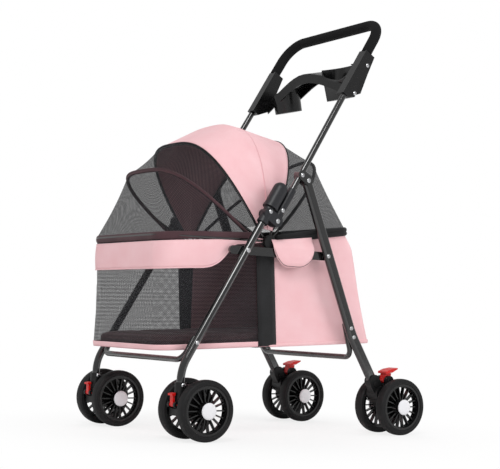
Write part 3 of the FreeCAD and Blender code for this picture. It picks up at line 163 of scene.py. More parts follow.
def add_piece(name, body, bm, materials, **settings):
    """A piece that rides on a body."""
    piece = make_piece(name, bm, materials, **settings)
    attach(piece, body)
    return piece

# %% [markdown]
# ## Hard finishes
# The tubes are steel with a gloss black powder coat: sprayed powder melts into a skin that
# reflects like paint but keeps a very slight orange-peel waviness. The mouldings are ABS and
# nylon from a lightly textured tool, so their highlights are broad and soft. All of these are
# built alike: a cloudy noise moves the tone and the dullness a little, and a fine grain gives
# the relief. So one recipe serves them all.

# %% The recipe
NOISE = ("Scale", "Detail", "Roughness")


def hard_finish(name, colour, roughness, cloud, tones=None, dull=None, grain=None, relief=None, **sockets):
    """A hard material.

    cloud and grain are a noise's scale per metre, detail and, where it isn't a half, roughness.
    tones are two colours, and dull two roughness values, that the cloud moves between.
    relief is the strength of the grain's bumps and their depth in metres.
    """
    material, tree, shader = finish(name, colour, roughness, **sockets)
    place = add_node(tree, "ShaderNodeTexCoord")
    broad = add_node(tree, "ShaderNodeTexNoise", dict(zip(NOISE, cloud)),
                     {"Vector": place.outputs["Object"]})
    if tones:
        shade = add_node(tree, "ShaderNodeValToRGB", None, {"Fac": broad.outputs["Fac"]})
        for element, tone in zip(shade.color_ramp.elements, tones):
            element.color = linear(tone)
        tree.links.new(shade.outputs["Color"], shader.inputs["Base Color"])
    if dull:
        rough = add_node(tree, "ShaderNodeMapRange", {"To Min": dull[0], "To Max": dull[1]},
                         {"Value": broad.outputs["Fac"]})
        tree.links.new(rough.outputs["Result"], shader.inputs["Roughness"])
    if grain:
        fine = add_node(tree, "ShaderNodeTexNoise", dict(zip(NOISE, grain)),
                        {"Vector": place.outputs["Object"]})
        bump = add_node(tree, "ShaderNodeBump", {"Strength": relief[0], "Distance": relief[1]},
                        {"Height": fine.outputs["Fac"]})
        tree.links.new(bump.outputs["Normal"], shader.inputs["Normal"])
    return material


# %% Gloss powder coat on steel tube
# Dark, with one sharp bright line along each tube, and a faint waviness of about 1.5 mm.
powder_black = hard_finish("powder_coat_gloss_black", "0a0a0b", 0.14, (38.0, 5.0), dull=(0.10, 0.18),
                           grain=(650.0, 2.0), relief=(0.03, 0.0003), Specular_IOR_Level=0.5,
                           Coat_Weight=1.0, Coat_Roughness=0.05)

# %% Textured black ABS of the mouldings
# A spark-eroded tool leaves a grain of about 0.4 mm; it is drawn at 0.8 mm so that it shows.
moulded_black = hard_finish("moulded_abs_black", "141416", 0.42, (22.0, 4.0), tones=("0d0d0e", "151516"),
                            dull=(0.34, 0.52), grain=(1250.0, 2.0), relief=(0.15, 0.0003),
                            Specular_IOR_Level=0.35)

# %% Polished black ABS of the cup tray and rims
# The tray comes from a polished tool and mirrors the studio softly.
gloss_black = hard_finish("moulded_abs_gloss", "0a0a0b", 0.2, (45.0, 5.0), dull=(0.16, 0.30),
                          Specular_IOR_Level=0.5)

# %% Charcoal nylon of the fold locks and knuckles
# Glass-filled nylon is greyer than the tubes and has a dry, slightly mottled skin.
FIBRES = (420.0, 4.0, 0.65)
nylon_charcoal = hard_finish("moulded_nylon_charcoal", "1f2023", 0.42, FIBRES, tones=("19191c", "2a2b2f"),
                             grain=FIBRES, relief=(0.18, 0.0004), Specular_IOR_Level=0.4)

# %% Closed-cell foam of the grip
# EVA foam is matt and drinks light; its cut cells are about 0.5 mm, drawn at 1.4 mm to show.
foam_black = hard_finish("eva_foam_black", "171718", 0.92, (60.0, 5.0), tones=("0d0d0e", "161617"),
                         Specular_IOR_Level=0.25)
tree = foam_black.node_tree
place = add_node(tree, "ShaderNodeTexCoord")
cells = add_node(tree, "ShaderNodeTexVoronoi", {"Scale": 700.0}, {"Vector": place.outputs["Object"]})
bump = add_node(tree, "ShaderNodeBump", {"Strength": 0.35, "Distance": 0.0006},
                {"Height": cells.outputs["Distance"]})
tree.links.new(bump.outputs["Normal"], tree.nodes["Principled BSDF"].inputs["Normal"])

# %% EVA tyre
# Foam tyres have a satin moulded skin. The lighter tone of its cloudy mottle is painted highlight: it lifts
# the black towards the soft highlights of the tyres.
tyre_black = hard_finish("moulded_eva_tyre", "121213", 0.6, (55.0, 6.0, 0.6), tones=("0d0d0e", "1c1c1d"),
                         dull=(0.5, 0.72), grain=(900.0, 2.0), relief=(0.12, 0.0004), Specular_IOR_Level=0.3)

# %% Red polypropylene, white ABS and zinc-plated steel
# The pedals and levers are a bright red that glows faintly from within. The hub caps are white,
# and the rivets, pins and axles are turned steel under thin bright zinc.
red_plastic = hard_finish("moulded_pp_red", "d4120f", 0.3, (70.0, 4.0), tones=("c20e0c", "e01a14"),
                          dull=(0.24, 0.4), Specular_IOR_Level=0.5, Subsurface_Weight=0.05,
                          Subsurface_Scale=0.002)
white_cap = hard_finish("moulded_abs_white", "e9e9ec", 0.28, (90.0, 4.0), dull=(0.22, 0.38),
                        Specular_IOR_Level=0.5)
zinc = hard_finish("zinc_plated_steel", "c9cacc", 0.28, (800.0, 3.0), dull=(0.2, 0.4), Metallic=1.0)
print("hard finishes: %d" % len(bpy.data.materials))

# %% [markdown]
# ## Fabrics
# The pink panels are a woven polyester with a matt, slightly grainy face and a dusky lining behind
# it. The windows are a black knitted net. Both patterns follow each sheet's own UV map, which is
# in metres, so the threads run with the cloth and not with the room. The net is drawn as two
# crossing sets of threads with holes between them: a `Wave` texture whose bands repeat every
# 0.314 / scale metres gives each set, and its height drives the alpha of the shader.

# %% Thread sets
def threads(tree, place, period, direction="X", turn=0.0, distortion=0.0, detail_scale=1.0):
    """Parallel bands on the UV map, one every period metres."""
    turned = add_node(tree, "ShaderNodeMapping", {"Rotation": (0.0, 0.0, math.radians(turn))},
                      {"Vector": place.outputs["UV"]})
    return add_node(tree, "ShaderNodeTexWave", {"Scale": math.pi / (10 * period), "Distortion": distortion,
                                                "Detail Scale": detail_scale},
                    {"Vector": turned.outputs["Vector"]}, wave_type="BANDS", bands_direction=direction)


# %% Woven polyester, webbing and bindings
# Threads are 0.35 mm apart in the cloth and are drawn at 1.2 mm, and a little coarser in the mat
# and the bindings; webbing has ribs of 3 mm.
def woven(name, low, high, roughness, sheen, pitch=1.2, ribs=0.3):
    """A plain weave with cloudy shade; pitch is in millimetres, and ribs is its relief's strength."""
    material, tree, shader = finish(name, high, roughness, Specular_IOR_Level=0.25,
                                    Sheen_Weight=sheen, Sheen_Roughness=0.5)
    place = add_node(tree, "ShaderNodeTexCoord")
    warp = threads(tree, place, pitch * MM, "X")
    weft = threads(tree, place, pitch * MM, "Y")
    weave = add_node(tree, "ShaderNodeMath", None, {0: warp.outputs["Fac"], 1: weft.outputs["Fac"]},
                     operation="ADD")
    cloudy = add_node(tree, "ShaderNodeTexNoise", {"Scale": 14.0, "Detail": 6.0, "Roughness": 0.55},
                      {"Vector": place.outputs["UV"]})
    slub = add_node(tree, "ShaderNodeTexNoise", {"Scale": 420.0, "Detail": 3.0},
                    {"Vector": place.outputs["UV"]})
    blend = add_node(tree, "ShaderNodeMath", {1: 0.3}, {0: slub.outputs["Fac"], 2: cloudy.outputs["Fac"]},
                     operation="MULTIPLY_ADD")
    shade = add_node(tree, "ShaderNodeValToRGB", None, {"Fac": blend.outputs["Value"]})
    for element, position, tone in zip(shade.color_ramp.elements, (0.35, 0.95), (low, high)):
        element.position = position
        element.color = linear(tone)
    bump = add_node(tree, "ShaderNodeBump", {"Strength": ribs, "Distance": 0.0003},
                    {"Height": weave.outputs["Value"]})
    tree.links.new(shade.outputs["Color"], shader.inputs["Base Color"])
    tree.links.new(bump.outputs["Normal"], shader.inputs["Normal"])
    return material


pink_face = woven("woven_polyester_pink", "edb8bd", "f4cbcf", 0.82, 0.15)
pink_lining = woven("woven_polyester_lining", "b88a90", "cb9da3", 0.9, 0.1)
mat_cloth = woven("brushed_polyester_mauve", "6f5054", "86666a", 0.95, 0.2, pitch=2.0)
webbing_black = woven("woven_webbing_black", "161617", "2a2a2c", 0.7, 0.1, pitch=3.0, ribs=0.8)
binding_mauve = woven("woven_binding_mauve", "3c282c", "563c41", 0.85, 0.1, pitch=1.6)
binding_black = woven("woven_binding_black", "131314", "222224", 0.8, 0.1, pitch=1.6)

# %% Knitted net
# The real net has about 1.6 mm between its threads and is drawn at 3 mm, so that it shows. The
# ribbed one also has wavy stripes, 9 mm apart.
NET_PITCH, RIB_PITCH = 3.0 * MM, 9.0 * MM


def net(name, dark, light, cover, hole, ribs=0.0):
    """Crossing threads; cover and hole say how much threads and holes hide, ribs adds wavy stripes."""
    material, tree, shader = finish(name, light, 0.75, Specular_IOR_Level=0.2)
    place = add_node(tree, "ShaderNodeTexCoord")
    one_way = threads(tree, place, NET_PITCH, turn=45.0)
    other_way = threads(tree, place, NET_PITCH, turn=-45.0)
    height = add_node(tree, "ShaderNodeMath", None,
                      {0: one_way.outputs["Fac"], 1: other_way.outputs["Fac"]}, operation="MAXIMUM")
    drift = add_node(tree, "ShaderNodeTexNoise", {"Scale": 9.0, "Detail": 3.0},
                     {"Vector": place.outputs["UV"]})
    shade = add_node(tree, "ShaderNodeValToRGB", None, {"Fac": drift.outputs["Fac"]})
    for element, tone in zip(shade.color_ramp.elements, (dark, light)):
        element.color = linear(tone)
    hidden = add_node(tree, "ShaderNodeMapRange", {"From Min": 0.45, "From Max": 0.95,
                                                   "To Min": hole, "To Max": cover},
                      {"Value": height.outputs["Value"]})
    stripes = threads(tree, place, RIB_PITCH, "Y", distortion=1.6, detail_scale=1.4)
    striped = add_node(tree, "ShaderNodeMath", {1: ribs},
                       {0: stripes.outputs["Fac"], 2: hidden.outputs["Result"]},
                       operation="MULTIPLY_ADD", use_clamp=True)
    tree.links.new(shade.outputs["Color"], shader.inputs["Base Color"])
    tree.links.new(striped.outputs["Value"], shader.inputs["Alpha"])
    material.surface_render_method = "DITHERED"
    return material


hood_net = net("knitted_net_black", "1b1b1d", "2f2f32", 0.86, 0.34)
wall_net = net("knitted_net_ribbed", "202022", "353538", 0.76, 0.24, ribs=0.12)

# %% [markdown]
# ## Frame, pins and mouldings
# The tubes, pins and levers of the engineering model have the right shape already, so they only
# get their finishes.

# %% Finishes of the engineering nodes
def paint(material, *names):
    """One material for whole engineering nodes."""
    for name in names:
        slots = frame["nodes"][name].data.materials
        slots.clear()
        slots.append(material)


paint(powder_black, "front_crossbar", "rear_crossbar", "handle_tube", "leg_hangers", "rim_rods",
      "hood_ribs_rear", "hood_rib_front", "hood_rib_middle")
paint(zinc, "front_rivets", "handle_rivets", "rear_rivets", "rear_axles")
paint(moulded_black, "caster_sockets", "hood_hubs", "base_board")
paint(foam_black, "foam_grip")
for side in SIDES:
    paint(powder_black, "front_leg_" + side, "rear_leg_" + side, "side_link_" + side)
    paint(nylon_charcoal, "knuckle_" + side, "fold_lock_" + side, "handle_sleeve_" + side)
    paint(moulded_black, "rear_housing_" + side, "caster_fork_" + side)
    paint(red_plastic, "brake_pedal_" + side, "swivel_lock_" + side)
    paint(zinc, "caster_axle_" + side)

# %% [markdown]
# ## Wheels
# Each foot of the stroller stands on a pair of wheels. A wheel is a foam tyre with a moulded line
# round its sidewall, a black rim with eighteen thin spokes, and a white snap-on cap over the
# axle's end. Tyre and cap are turned shapes, so `spin` makes each in one step.

# %% Tyres
def turned(profile, steps, closed):
    """A profile of (radius, along) pairs in millimetres, spun once round the X axis."""
    bm = bmesh.new()
    verts = [bm.verts.new((along * MM, 0, radius * MM)) for radius, along in profile]
    edges = [bm.edges.new(pair) for pair in zip(verts, verts[1:])]
    if closed:
        edges.append(bm.edges.new((verts[-1], verts[0])))
    bmesh.ops.spin(bm, geom=verts + edges, cent=(0, 0, 0), axis=(1, 0, 0), angle=2 * math.pi,
                   steps=steps, use_merge=True)
    bmesh.ops.remove_doubles(bm, verts=bm.verts[:], dist=1e-6)
    if not closed:
        bmesh.ops.holes_fill(bm, edges=[edge for edge in bm.edges if edge.is_boundary], sides=0)
    bmesh.ops.recalc_face_normals(bm, faces=bm.faces[:])
    return bm


TYRE_SECTION = [(55.3, -11.6), (56.4, -13.0), (58.2, -13.6), (60.0, -13.4), (60.6, -12.9), (61.2, -13.4),
                (63.4, -13.2), (65.2, -12.0), (66.5, -10.3), (67.4, -8.2), (67.8, -5.4), (68.0, -2.0)]
TYRE_SECTION += [(radius, -along) for radius, along in reversed(TYRE_SECTION)]
TYRE_STEPS = 96
WHEELS = [(end, side, place) for end in ("front", "rear") for side in SIDES for place in ("outer", "inner")]
centres = {}
for wheel in WHEELS:
    name = "%s_%s_%s" % wheel
    low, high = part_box("tyre_" + name)
    centres[wheel] = (low + high) / 2
    bm = turned(TYRE_SECTION, TYRE_STEPS, closed=True)
    bmesh.ops.translate(bm, verts=bm.verts[:], vec=centres[wheel])
    tyre = add_piece("tyre_skin_" + name, "wheel_" + name, bm, [tyre_black], slot="tyre_foam")
    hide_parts("tyre_" + name)
    paint(gloss_black, "rim_" + name)
print("tyres: %d, radius %.0f mm" % (len(WHEELS), max(radius for radius, along in TYRE_SECTION)))

# %% Hub caps
# A cap is a low dome with a rolled edge. It clips into the hub on the side of the wheel that faces
# away from its pair.
CAP_PROFILE = [(17.6, 0.0), (18.6, 0.9), (18.4, 2.2), (17.0, 3.1), (12.0, 3.9), (6.0, 4.3)]
CAP_STEPS = 40
for wheel in WHEELS:
    name = "%s_%s_%s" % wheel
    low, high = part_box("rim_" + name)
    out = SIDES[wheel[1]] * (1 if wheel[2] == "outer" else -1)
    bm = turned([(radius, height * out) for radius, height in CAP_PROFILE], CAP_STEPS, closed=False)
    spot = (high.x if out > 0 else low.x, centres[wheel].y, centres[wheel].z)
    bmesh.ops.translate(bm, verts=bm.verts[:], vec=spot)
    add_piece("hub_cap_" + name, "wheel_" + name, bm, [white_cap])
print("hub caps: %d domes of %.1f mm" % (len(WHEELS), 2 * CAP_PROFILE[1][0]))

# %% [markdown]
# ## The carrier
# The carrier is a soft box: cloth hung from a steel rim and closed below by a board. All its
# sheets follow the same plan, a rectangle with rounded corners, which leans in at the back. So one
# function gives a place on that plan, and each sheet is a grid whose points are moved on to it.
# Moving a grid keeps a clean UV map, which the weave and the net need.

# %% Sheets of cloth
def cut_sheet(across, along, where, size, heart=None):
    """A grid laid on where(u, v), with a UV map in metres and its face away from the heart."""
    bm = bmesh.new()
    cut = bm.loops.layers.uv.new("cut")
    bmesh.ops.create_grid(bm, x_segments=across, y_segments=along, size=0.5)
    for face in bm.faces:
        for loop in face.loops:
            loop[cut].uv = ((loop.vert.co.x + 0.5) * size[0], (loop.vert.co.y + 0.5) * size[1])
    for vert in bm.verts:
        vert.co = where(vert.co.x + 0.5, vert.co.y + 0.5)
    if heart is not None:
        bm.normal_update()
        facing = 0.0
        for face in bm.faces:
            facing += (face.calc_center_median() - heart).dot(face.normal) * face.calc_area()
        if facing < 0:
            bmesh.ops.reverse_faces(bm, faces=bm.faces[:])
    return bm


# %% Rolled edges, bindings and piping
UP, SIDEWAYS = Vector((0, 0, 1)), Vector((1, 0, 0))
# a roll's end rings are this share of its width, which rounds the ends off
END_SHARE = 0.35


def roll(points, wide, tall, up=UP, around=12):
    """A closed roll along points, wide across and tall upward, with a UV map in metres."""
    ends = len(points) - 1

    def where(u, v):
        place = min(round(u * ends), ends)
        before, after = points[max(place - 1, 0)], points[min(place + 1, ends)]
        along = (after - before).normalized()
        out = along.cross(up).normalized()
        top = out.cross(along).normalized()
        turn = 2 * math.pi * v
        tight = END_SHARE if place in (0, ends) else 1.0
        return points[place] + (out * wide * math.cos(turn) + top * tall * math.sin(turn)) / 2 * tight

    bm = cut_sheet(ends, around, where, (line_length(points), (wide + tall) * math.pi / 2))
    bmesh.ops.remove_doubles(bm, verts=bm.verts[:], dist=1e-5)
    bmesh.ops.holes_fill(bm, edges=[edge for edge in bm.edges if edge.is_boundary], sides=0)
    bmesh.ops.recalc_face_normals(bm, faces=bm.faces[:])
    return bm


def line_length(spots):
    """Length of a line of points."""
    return sum((b - a).length for a, b in zip(spots, spots[1:]))


def add_roll(name, material, points, wide, tall, slot=None, body="carrier", **shape):
    """A roll as a piece that rides on a body."""
    print("%s: %.0f mm" % (name, line_length(points) / MM))
    add_piece(name, body, roll(points, wide, tall, **shape), [material], slot=slot)


# %% The carrier's plan
def table_of(*pairs):
    """A function through pairs of (place, value), straight between them and level beyond."""
    def value(place):
        if place <= pairs[0][0]:
            return pairs[0][1]
        for (a, low), (b, high) in zip(pairs, pairs[1:]):
            if place <= b:
                return low + (high - low) * (place - a) / (b - a)
        return pairs[-1][1]
    return value


def mix(low, high, share):
    """The value at a share of the way from low to high."""
    return low + (high - low) * share


HALF = 172 * MM
FRONT_Y = -353 * MM
BACK_Y = 250 * MM
BACK_TOP_Y = 168 * MM
CORNER_FRONT = 45 * MM
CORNER_BACK = 25 * MM
base_z = table_of((FRONT_Y, 0.196), (BACK_Y, 0.222))
HEART = Vector((0, -0.06, 0.33))


def straight_and_arc(start, end):
    """Corner radius, straight side and corner arc of one end of the plan, and its whole length."""
    corner = CORNER_BACK if end > start else CORNER_FRONT
    straight = abs(end - start) - corner
    arc = corner * math.pi / 2
    return corner, straight, arc, 2 * (straight + arc + HALF - corner)


def length_round(start, end):
    """Length of cloth that goes round one end of the plan."""
    return straight_and_arc(start, end)[-1]


def round_end(share, start, end, out=0.0):
    """Place and outward direction at a share of the way round one end, from left to right."""
    way = 1 if end > start else -1
    corner, straight, arc, whole = straight_and_arc(start, end)
    gone = whole * min(share, 1 - share)
    side = 1 if share <= 0.5 else -1
    if gone < straight:
        spot, facing = (HALF, start + way * gone), (1.0, 0.0)
    elif gone < straight + arc:
        turn = (gone - straight) / corner
        facing = (math.cos(turn), way * math.sin(turn))
        spot = (HALF - corner + corner * facing[0], end - way * corner + corner * facing[1])
    else:
        spot, facing = (HALF - corner - (gone - straight - arc), end), (0.0, float(way))
    place = Vector((spot[0] * side, spot[1], 0))
    facing = Vector((facing[0] * side, facing[1], 0))
    return place + facing * out, facing


def rim_line(start, end, level, lift, out, count=180):
    """Points round one end, lifted from the height level(y) and moved outward."""
    spots = []
    for step in range(count + 1):
        place, facing = round_end(step / count, start, end)
        spots.append(Vector((place.x, place.y, level(place.y) + lift)) + facing * out)
    return spots


def carrier_sheet(name, grid, where, size, materials, slot="pink_fabric", depth=0.0, heart=HEART):
    """A cut sheet as a piece of the carrier; grid is its squares across and along."""
    print("%s: %.0f x %.0f mm" % (name, size[0] / MM, size[1] / MM))
    bm = cut_sheet(*grid, where, size, heart)
    return add_piece(name, "carrier", bm, materials, slot=slot, depth=depth)


PINK_LINED = [pink_face, pink_lining]

# %% The front wall of net
# The net hangs from the rim and is sewn to the base. It is limp, so it draws in a little halfway
# up, and it has long shallow ripples.
NET_START = -60 * MM
NET_TOP = 0.449
NET_SLACK, NET_RIPPLE = 3.0 * MM, 1.2 * MM


def front_wall(u, v):
    place, facing = round_end(u, NET_START, FRONT_Y)
    height = mix(base_z(place.y) + 0.004, NET_TOP, v)
    ripple = mathutils.noise.noise(Vector((place.x * 9, place.y * 9, v * 14))) * NET_RIPPLE
    slack = NET_SLACK * math.sin(math.pi * u) ** 0.3
    return Vector((place.x, place.y, height)) + facing * (ripple - slack) * math.sin(math.pi * v)


front_net_size = (length_round(NET_START, FRONT_Y), 0.248)
front_net = carrier_sheet("carrier_net_front", (180, 24), front_wall, front_net_size, [wall_net],
                          slot="grey_mesh")

# %% The rear wall of pink cloth
# Woven cloth outside and a dusky lining inside. It leans in as it rises, and turns in more sharply
# to its hem just under the rim. It is drawn tight over the corners, so only its flat parts sink.
REAR_START = -60 * MM
REAR_FOOT, REAR_HEAD = 0.222, 0.487
REAR_WAVE, REAR_SINK = 3.5 * MM, 3.5 * MM
hem_low = table_of((-0.05, 0.452), (0.06, 0.4645), (BACK_TOP_Y, 0.481))
back_y = table_of((REAR_FOOT, BACK_Y), (0.300, 0.2315), (0.357, 0.2175), (0.410, 0.2045), (0.432, 0.1985),
                  (0.447, 0.1945), (0.460, 0.1865), (0.480, 0.1715), (REAR_HEAD, BACK_TOP_Y))


def rear_wall(u, v, out=0.0):
    """A point of the rear wall, or a little outside it."""
    foot = round_end(u, REAR_START, BACK_Y)[0]
    top = round_end(u, REAR_START, BACK_TOP_Y)[0]
    place, facing = round_end(u, REAR_START, back_y(mix(REAR_FOOT, REAR_HEAD, v)))
    height = mix(base_z(foot.y) - 0.001, hem_low(top.y) + 0.006, v)
    wave = mathutils.noise.noise(Vector((place.x * 6, place.y * 6, v * 1.3 + 5))) * REAR_WAVE
    sink = REAR_SINK * (0.4 + 0.6 * abs(math.sin(2 * math.pi * u)))
    return Vector((place.x, place.y, height)) + facing * ((wave - sink) * math.sin(math.pi * v) + out)


rear_size = (length_round(REAR_START, (BACK_Y + BACK_TOP_Y) / 2), 0.262)
rear_cloth = carrier_sheet("carrier_cloth_rear", (160, 32), rear_wall, rear_size, PINK_LINED,
                           depth=0.0014, heart=HEART + Vector((0, 0.1, 0)))
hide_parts("carrier_bag")

# %% Seams of the rear wall
# Two upright felled seams where the side panels meet the back, and a hem along the foot.
for side, share in (("left", 0.372), ("right", 0.628)):
    seam = [rear_wall(share, step / 24, 0.0004) for step in range(25)]
    add_roll("rear_seam_" + side, pink_face, seam, 0.0016, 0.005, up=SIDEWAYS, around=8)
foot = [rear_wall(step / 150, 0.012, 0.0005) for step in range(151)]
add_roll("rear_foot_hem", pink_face, foot, 0.003, 0.009, slot="pink_fabric")

# %% The base cloth and its turned-up edge
# The board slides into a flat sleeve of the same pink cloth. Its edge turns up by 12 mm, which
# shows as a thin pink line under the net.
def flat_base(u, v):
    """The unit square moved on to the rounded rectangle of the base."""
    long = (BACK_Y - FRONT_Y) / 2
    corner = CORNER_BACK if v > 0.5 else CORNER_FRONT
    spot = [(2 * u - 1) * HALF, (2 * v - 1) * long]
    past = [max(abs(spot[0]) - (HALF - corner), 0) / corner, max(abs(spot[1]) - (long - corner), 0) / corner]
    inner = [math.copysign(min(abs(spot[0]), HALF - corner), spot[0]),
             math.copysign(min(abs(spot[1]), long - corner), spot[1])]
    round_off = [past[0] * math.sqrt(1 - past[1] ** 2 / 2), past[1] * math.sqrt(1 - past[0] ** 2 / 2)]
    x = inner[0] + math.copysign(round_off[0] * corner, spot[0])
    y = inner[1] + math.copysign(round_off[1] * corner, spot[1]) + (FRONT_Y + BACK_Y) / 2
    return Vector((x, y, base_z(y) - 0.0008))


base_size = (2 * HALF, BACK_Y - FRONT_Y)
base_cloth = carrier_sheet("carrier_base_cloth", (36, 60), flat_base, base_size, PINK_LINED, depth=0.0012)


EDGE_HIGH, EDGE_CURL, EDGE_UNDER = 12.5 * MM, 2.2 * MM, 1.0 * MM


def base_edge(u, v):
    """The turned-up edge, which curls outward as it leaves the board."""
    place, facing = round_end(u, NET_START, FRONT_Y)
    curl = EDGE_CURL * math.sin(math.pi * min(v * 1.6, 1.0) / 2)
    height = base_z(place.y) - EDGE_UNDER + EDGE_HIGH * v
    return Vector((place.x, place.y, height)) + facing * (curl - EDGE_UNDER)


edge_size = (front_net_size[0], EDGE_HIGH + EDGE_UNDER)
base_strip = carrier_sheet("carrier_base_edge", (150, 6), base_edge, edge_size, [pink_face], depth=0.0012)

# %% Webbing under the carrier
# One strap of 50 mm webbing runs from the rim down one side, under the board and up the other. It
# takes the load, so it is taut and flat, with ribs across it.
STRAP_WIDE, STRAP_DROP = 0.050, 0.232
STRAP_OFF, STRAP_BEND = 0.003, 0.010
STRAP_Y_RIM, STRAP_Y_FOOT = -79 * MM, -64 * MM


def webbing(u, v):
    """u runs from the left rim under the base to the right rim, and v across the strap."""
    whole = 2 * (STRAP_DROP + HALF)
    gone = whole * u
    from_rim = min(gone, whole - gone)
    side = 1 if u <= 0.5 else -1
    y = mix(STRAP_Y_RIM, STRAP_Y_FOOT, min(from_rim / STRAP_DROP, 1.0)) + (v - 0.5) * STRAP_WIDE
    low = base_z(y) - STRAP_OFF
    if from_rim < STRAP_DROP - STRAP_BEND:
        return Vector((side * (HALF + STRAP_OFF), y, low + STRAP_DROP - from_rim))
    if from_rim < STRAP_DROP + STRAP_BEND:
        turn = (from_rim - STRAP_DROP + STRAP_BEND) / (2 * STRAP_BEND) * math.pi / 2
        centre = Vector((side * (HALF + STRAP_OFF - STRAP_BEND), y, low + STRAP_BEND))
        return centre + Vector((side * STRAP_BEND * math.cos(turn), 0, -STRAP_BEND * math.sin(turn)))
    return Vector((side * (whole / 2 - from_rim), y, low))


strap_size = (2 * (STRAP_DROP + HALF), STRAP_WIDE)
strap = carrier_sheet("carrier_webbing", (200, 4), webbing, strap_size, [webbing_black],
                      slot="black_plastic", depth=0.0018)

# %% The pink band round the rim
# A stiffened band covers the top of the net. It is deepest round the front, its lower edge sweeps
# up in a curve before the hub, and a narrow tail goes on to the hub.
band_top = table_of((FRONT_Y, 0.4385), (-0.294, 0.4430), (-0.200, 0.4492), (-0.129, 0.4555), (-0.086, 0.4575))
band_low = table_of((FRONT_Y, 0.377), (-0.291, 0.381), (-0.245, 0.3832), (-0.232, 0.3852), (-0.222, 0.3882),
                    (-0.212, 0.3928), (-0.203, 0.3985), (-0.1945, 0.4055), (-0.184, 0.4165),
                    (-0.1705, 0.4345), (-0.158, 0.4405), (-0.086, 0.449))
BAND_START = -84 * MM
BAND_STEPS = 220
BAND_SWELL, BAND_SWAY = 2.0 * MM, 1.2 * MM


def rim_band(u, v):
    place, facing = round_end(u, BAND_START, FRONT_Y, out=0.0015)
    low, high = band_low(place.y), band_top(place.y)
    swell = BAND_SWELL * math.sin(math.pi * v) * min((high - low) / 0.06, 1.0)
    sway = BAND_SWAY * mathutils.noise.noise(Vector((place.x * 7, place.y * 7, 2.5)))
    return Vector((place.x, place.y, mix(low, high, v))) + facing * (swell + sway * (1 - v))


band_size = (length_round(BAND_START, FRONT_Y), 0.067)
band = carrier_sheet("rim_band", (BAND_STEPS, 10), rim_band, band_size, PINK_LINED, depth=0.0018)
band_edge = [rim_band(step / BAND_STEPS, 0.0) for step in range(BAND_STEPS + 1)]
add_roll("rim_band_trim", pink_face, band_edge, 0.0022, 0.003, slot="pink_fabric", around=8)

# %% Hems on the rim
# In front the net is gathered into a mauve sleeve over the rim rod. Behind, two black rolls lie
# one on the other: the hem of the hood net and the hem of the wall.
sleeve_top = table_of((FRONT_Y, 0.4590), (-0.250, 0.4645))
hem_high = table_of((-0.05, 0.464), (0.06, 0.4855), (BACK_TOP_Y, 0.499))


def sleeve_middle(y):
    """Height of the sleeve's middle line."""
    return 0.5 * (band_top(y) + sleeve_top(y)) + 0.001


sleeve_line = rim_line(-0.095, FRONT_Y, sleeve_middle, 0.0, -0.0018)
add_roll("rim_sleeve_front", binding_mauve, sleeve_line, 0.0095, 0.0185, slot="grey_mesh", around=14)
for name, share, wide in (("low", 0.26, 0.013), ("high", 0.74, 0.0115)):
    hem_line = rim_line(-0.05, BACK_TOP_Y, lambda y: mix(hem_low(y), hem_high(y), share), 0.0, 0.0012)
    add_roll("rim_hem_rear_" + name, binding_black, hem_line, wide, 0.0125, slot="grey_mesh", around=14)

# %% Pocket flaps
# A flap on each side hangs from the rim over the frame's side link, so it stands off the wall. Its
# lower corners are round, and a row of stitches runs inside its edge.
FLAP_FRONT, FLAP_BACK = -68 * MM, 51 * MM
flap_low = table_of((-0.068, 0.449), (-0.0665, 0.436), (-0.062, 0.423), (-0.055, 0.4105), (-0.046, 0.4012),
                    (-0.036, 0.395), (-0.026, 0.3922), (0.012, 0.3915), (0.023, 0.3945), (0.033, 0.4005),
                    (0.041, 0.4085), (0.0465, 0.4185), (0.051, 0.436))
flap_stand = table_of((0.391, 0.0150), (0.402, 0.0195), (0.414, 0.0212), (0.438, 0.0212), (0.447, 0.0178),
                      (0.456, 0.0120), (0.466, 0.0090))


def flap(side, inset=0.0):
    """where(u, v) on a side's flap, or on its outline drawn in by the inset."""
    def where(u, v):
        middle = (FLAP_FRONT + FLAP_BACK) / 2
        y = middle + (mix(FLAP_FRONT, FLAP_BACK, u) - middle) * (1 - inset / 0.06)
        top = hem_low(y) + 0.004
        height = mix(min(flap_low(y) + inset, top - 0.004), top, v)
        return Vector((side * (HALF + flap_stand(height)), y, height))
    return where


flap_size = (0.119, 0.070)
for name, side in SIDES.items():
    pocket_flap = carrier_sheet("pocket_flap_" + name, (48, 16), flap(side), flap_size, PINK_LINED,
                                depth=0.0016)
    row = [flap(side, 0.0035)(step / 60, 0.0) + Vector((side * 0.0018, 0, 0)) for step in range(61)]
    add_roll("flap_stitching_" + name, binding_mauve, row, 0.0011, 0.0011, up=SIDEWAYS, around=6)

# %% [markdown]
# ## The hood
# Four bow-shaped ribs fan out from the two hubs. Between them hang, from the front: a net down to
# the rim, a second net, the pink canopy with its lining, and two nets behind. Cloth between two
# ribs is a loft, so each sheet is a grid whose rows run from one rib's curve to the next. The nets
# have a little slack, which makes them read as cloth. The canopy is drawn tight.

# %% Curves of the ribs
# Tilt in degrees, reach, fullness of the curve, half width, and the bow's foot from the hub. The
# crown isn't a rib: it is the line over which the canopy bends.
RIBS = {
    "front": (-52.9, 0.2735, 3.45, 0.164, Vector((0, -0.019, -0.006))),
    "middle": (-35.0, 0.280, 3.2, 0.1655, Vector()),
    "crown": (-10.0, 0.2915, 2.9, 0.16875, Vector()),
    "rear": (24.0, 0.286, 2.2, 0.172, Vector()),
    "last": (46.0, 0.318, 1.95, 0.172, Vector()),
}
RIB_STEPS = 160
FINE_STEPS = 1200


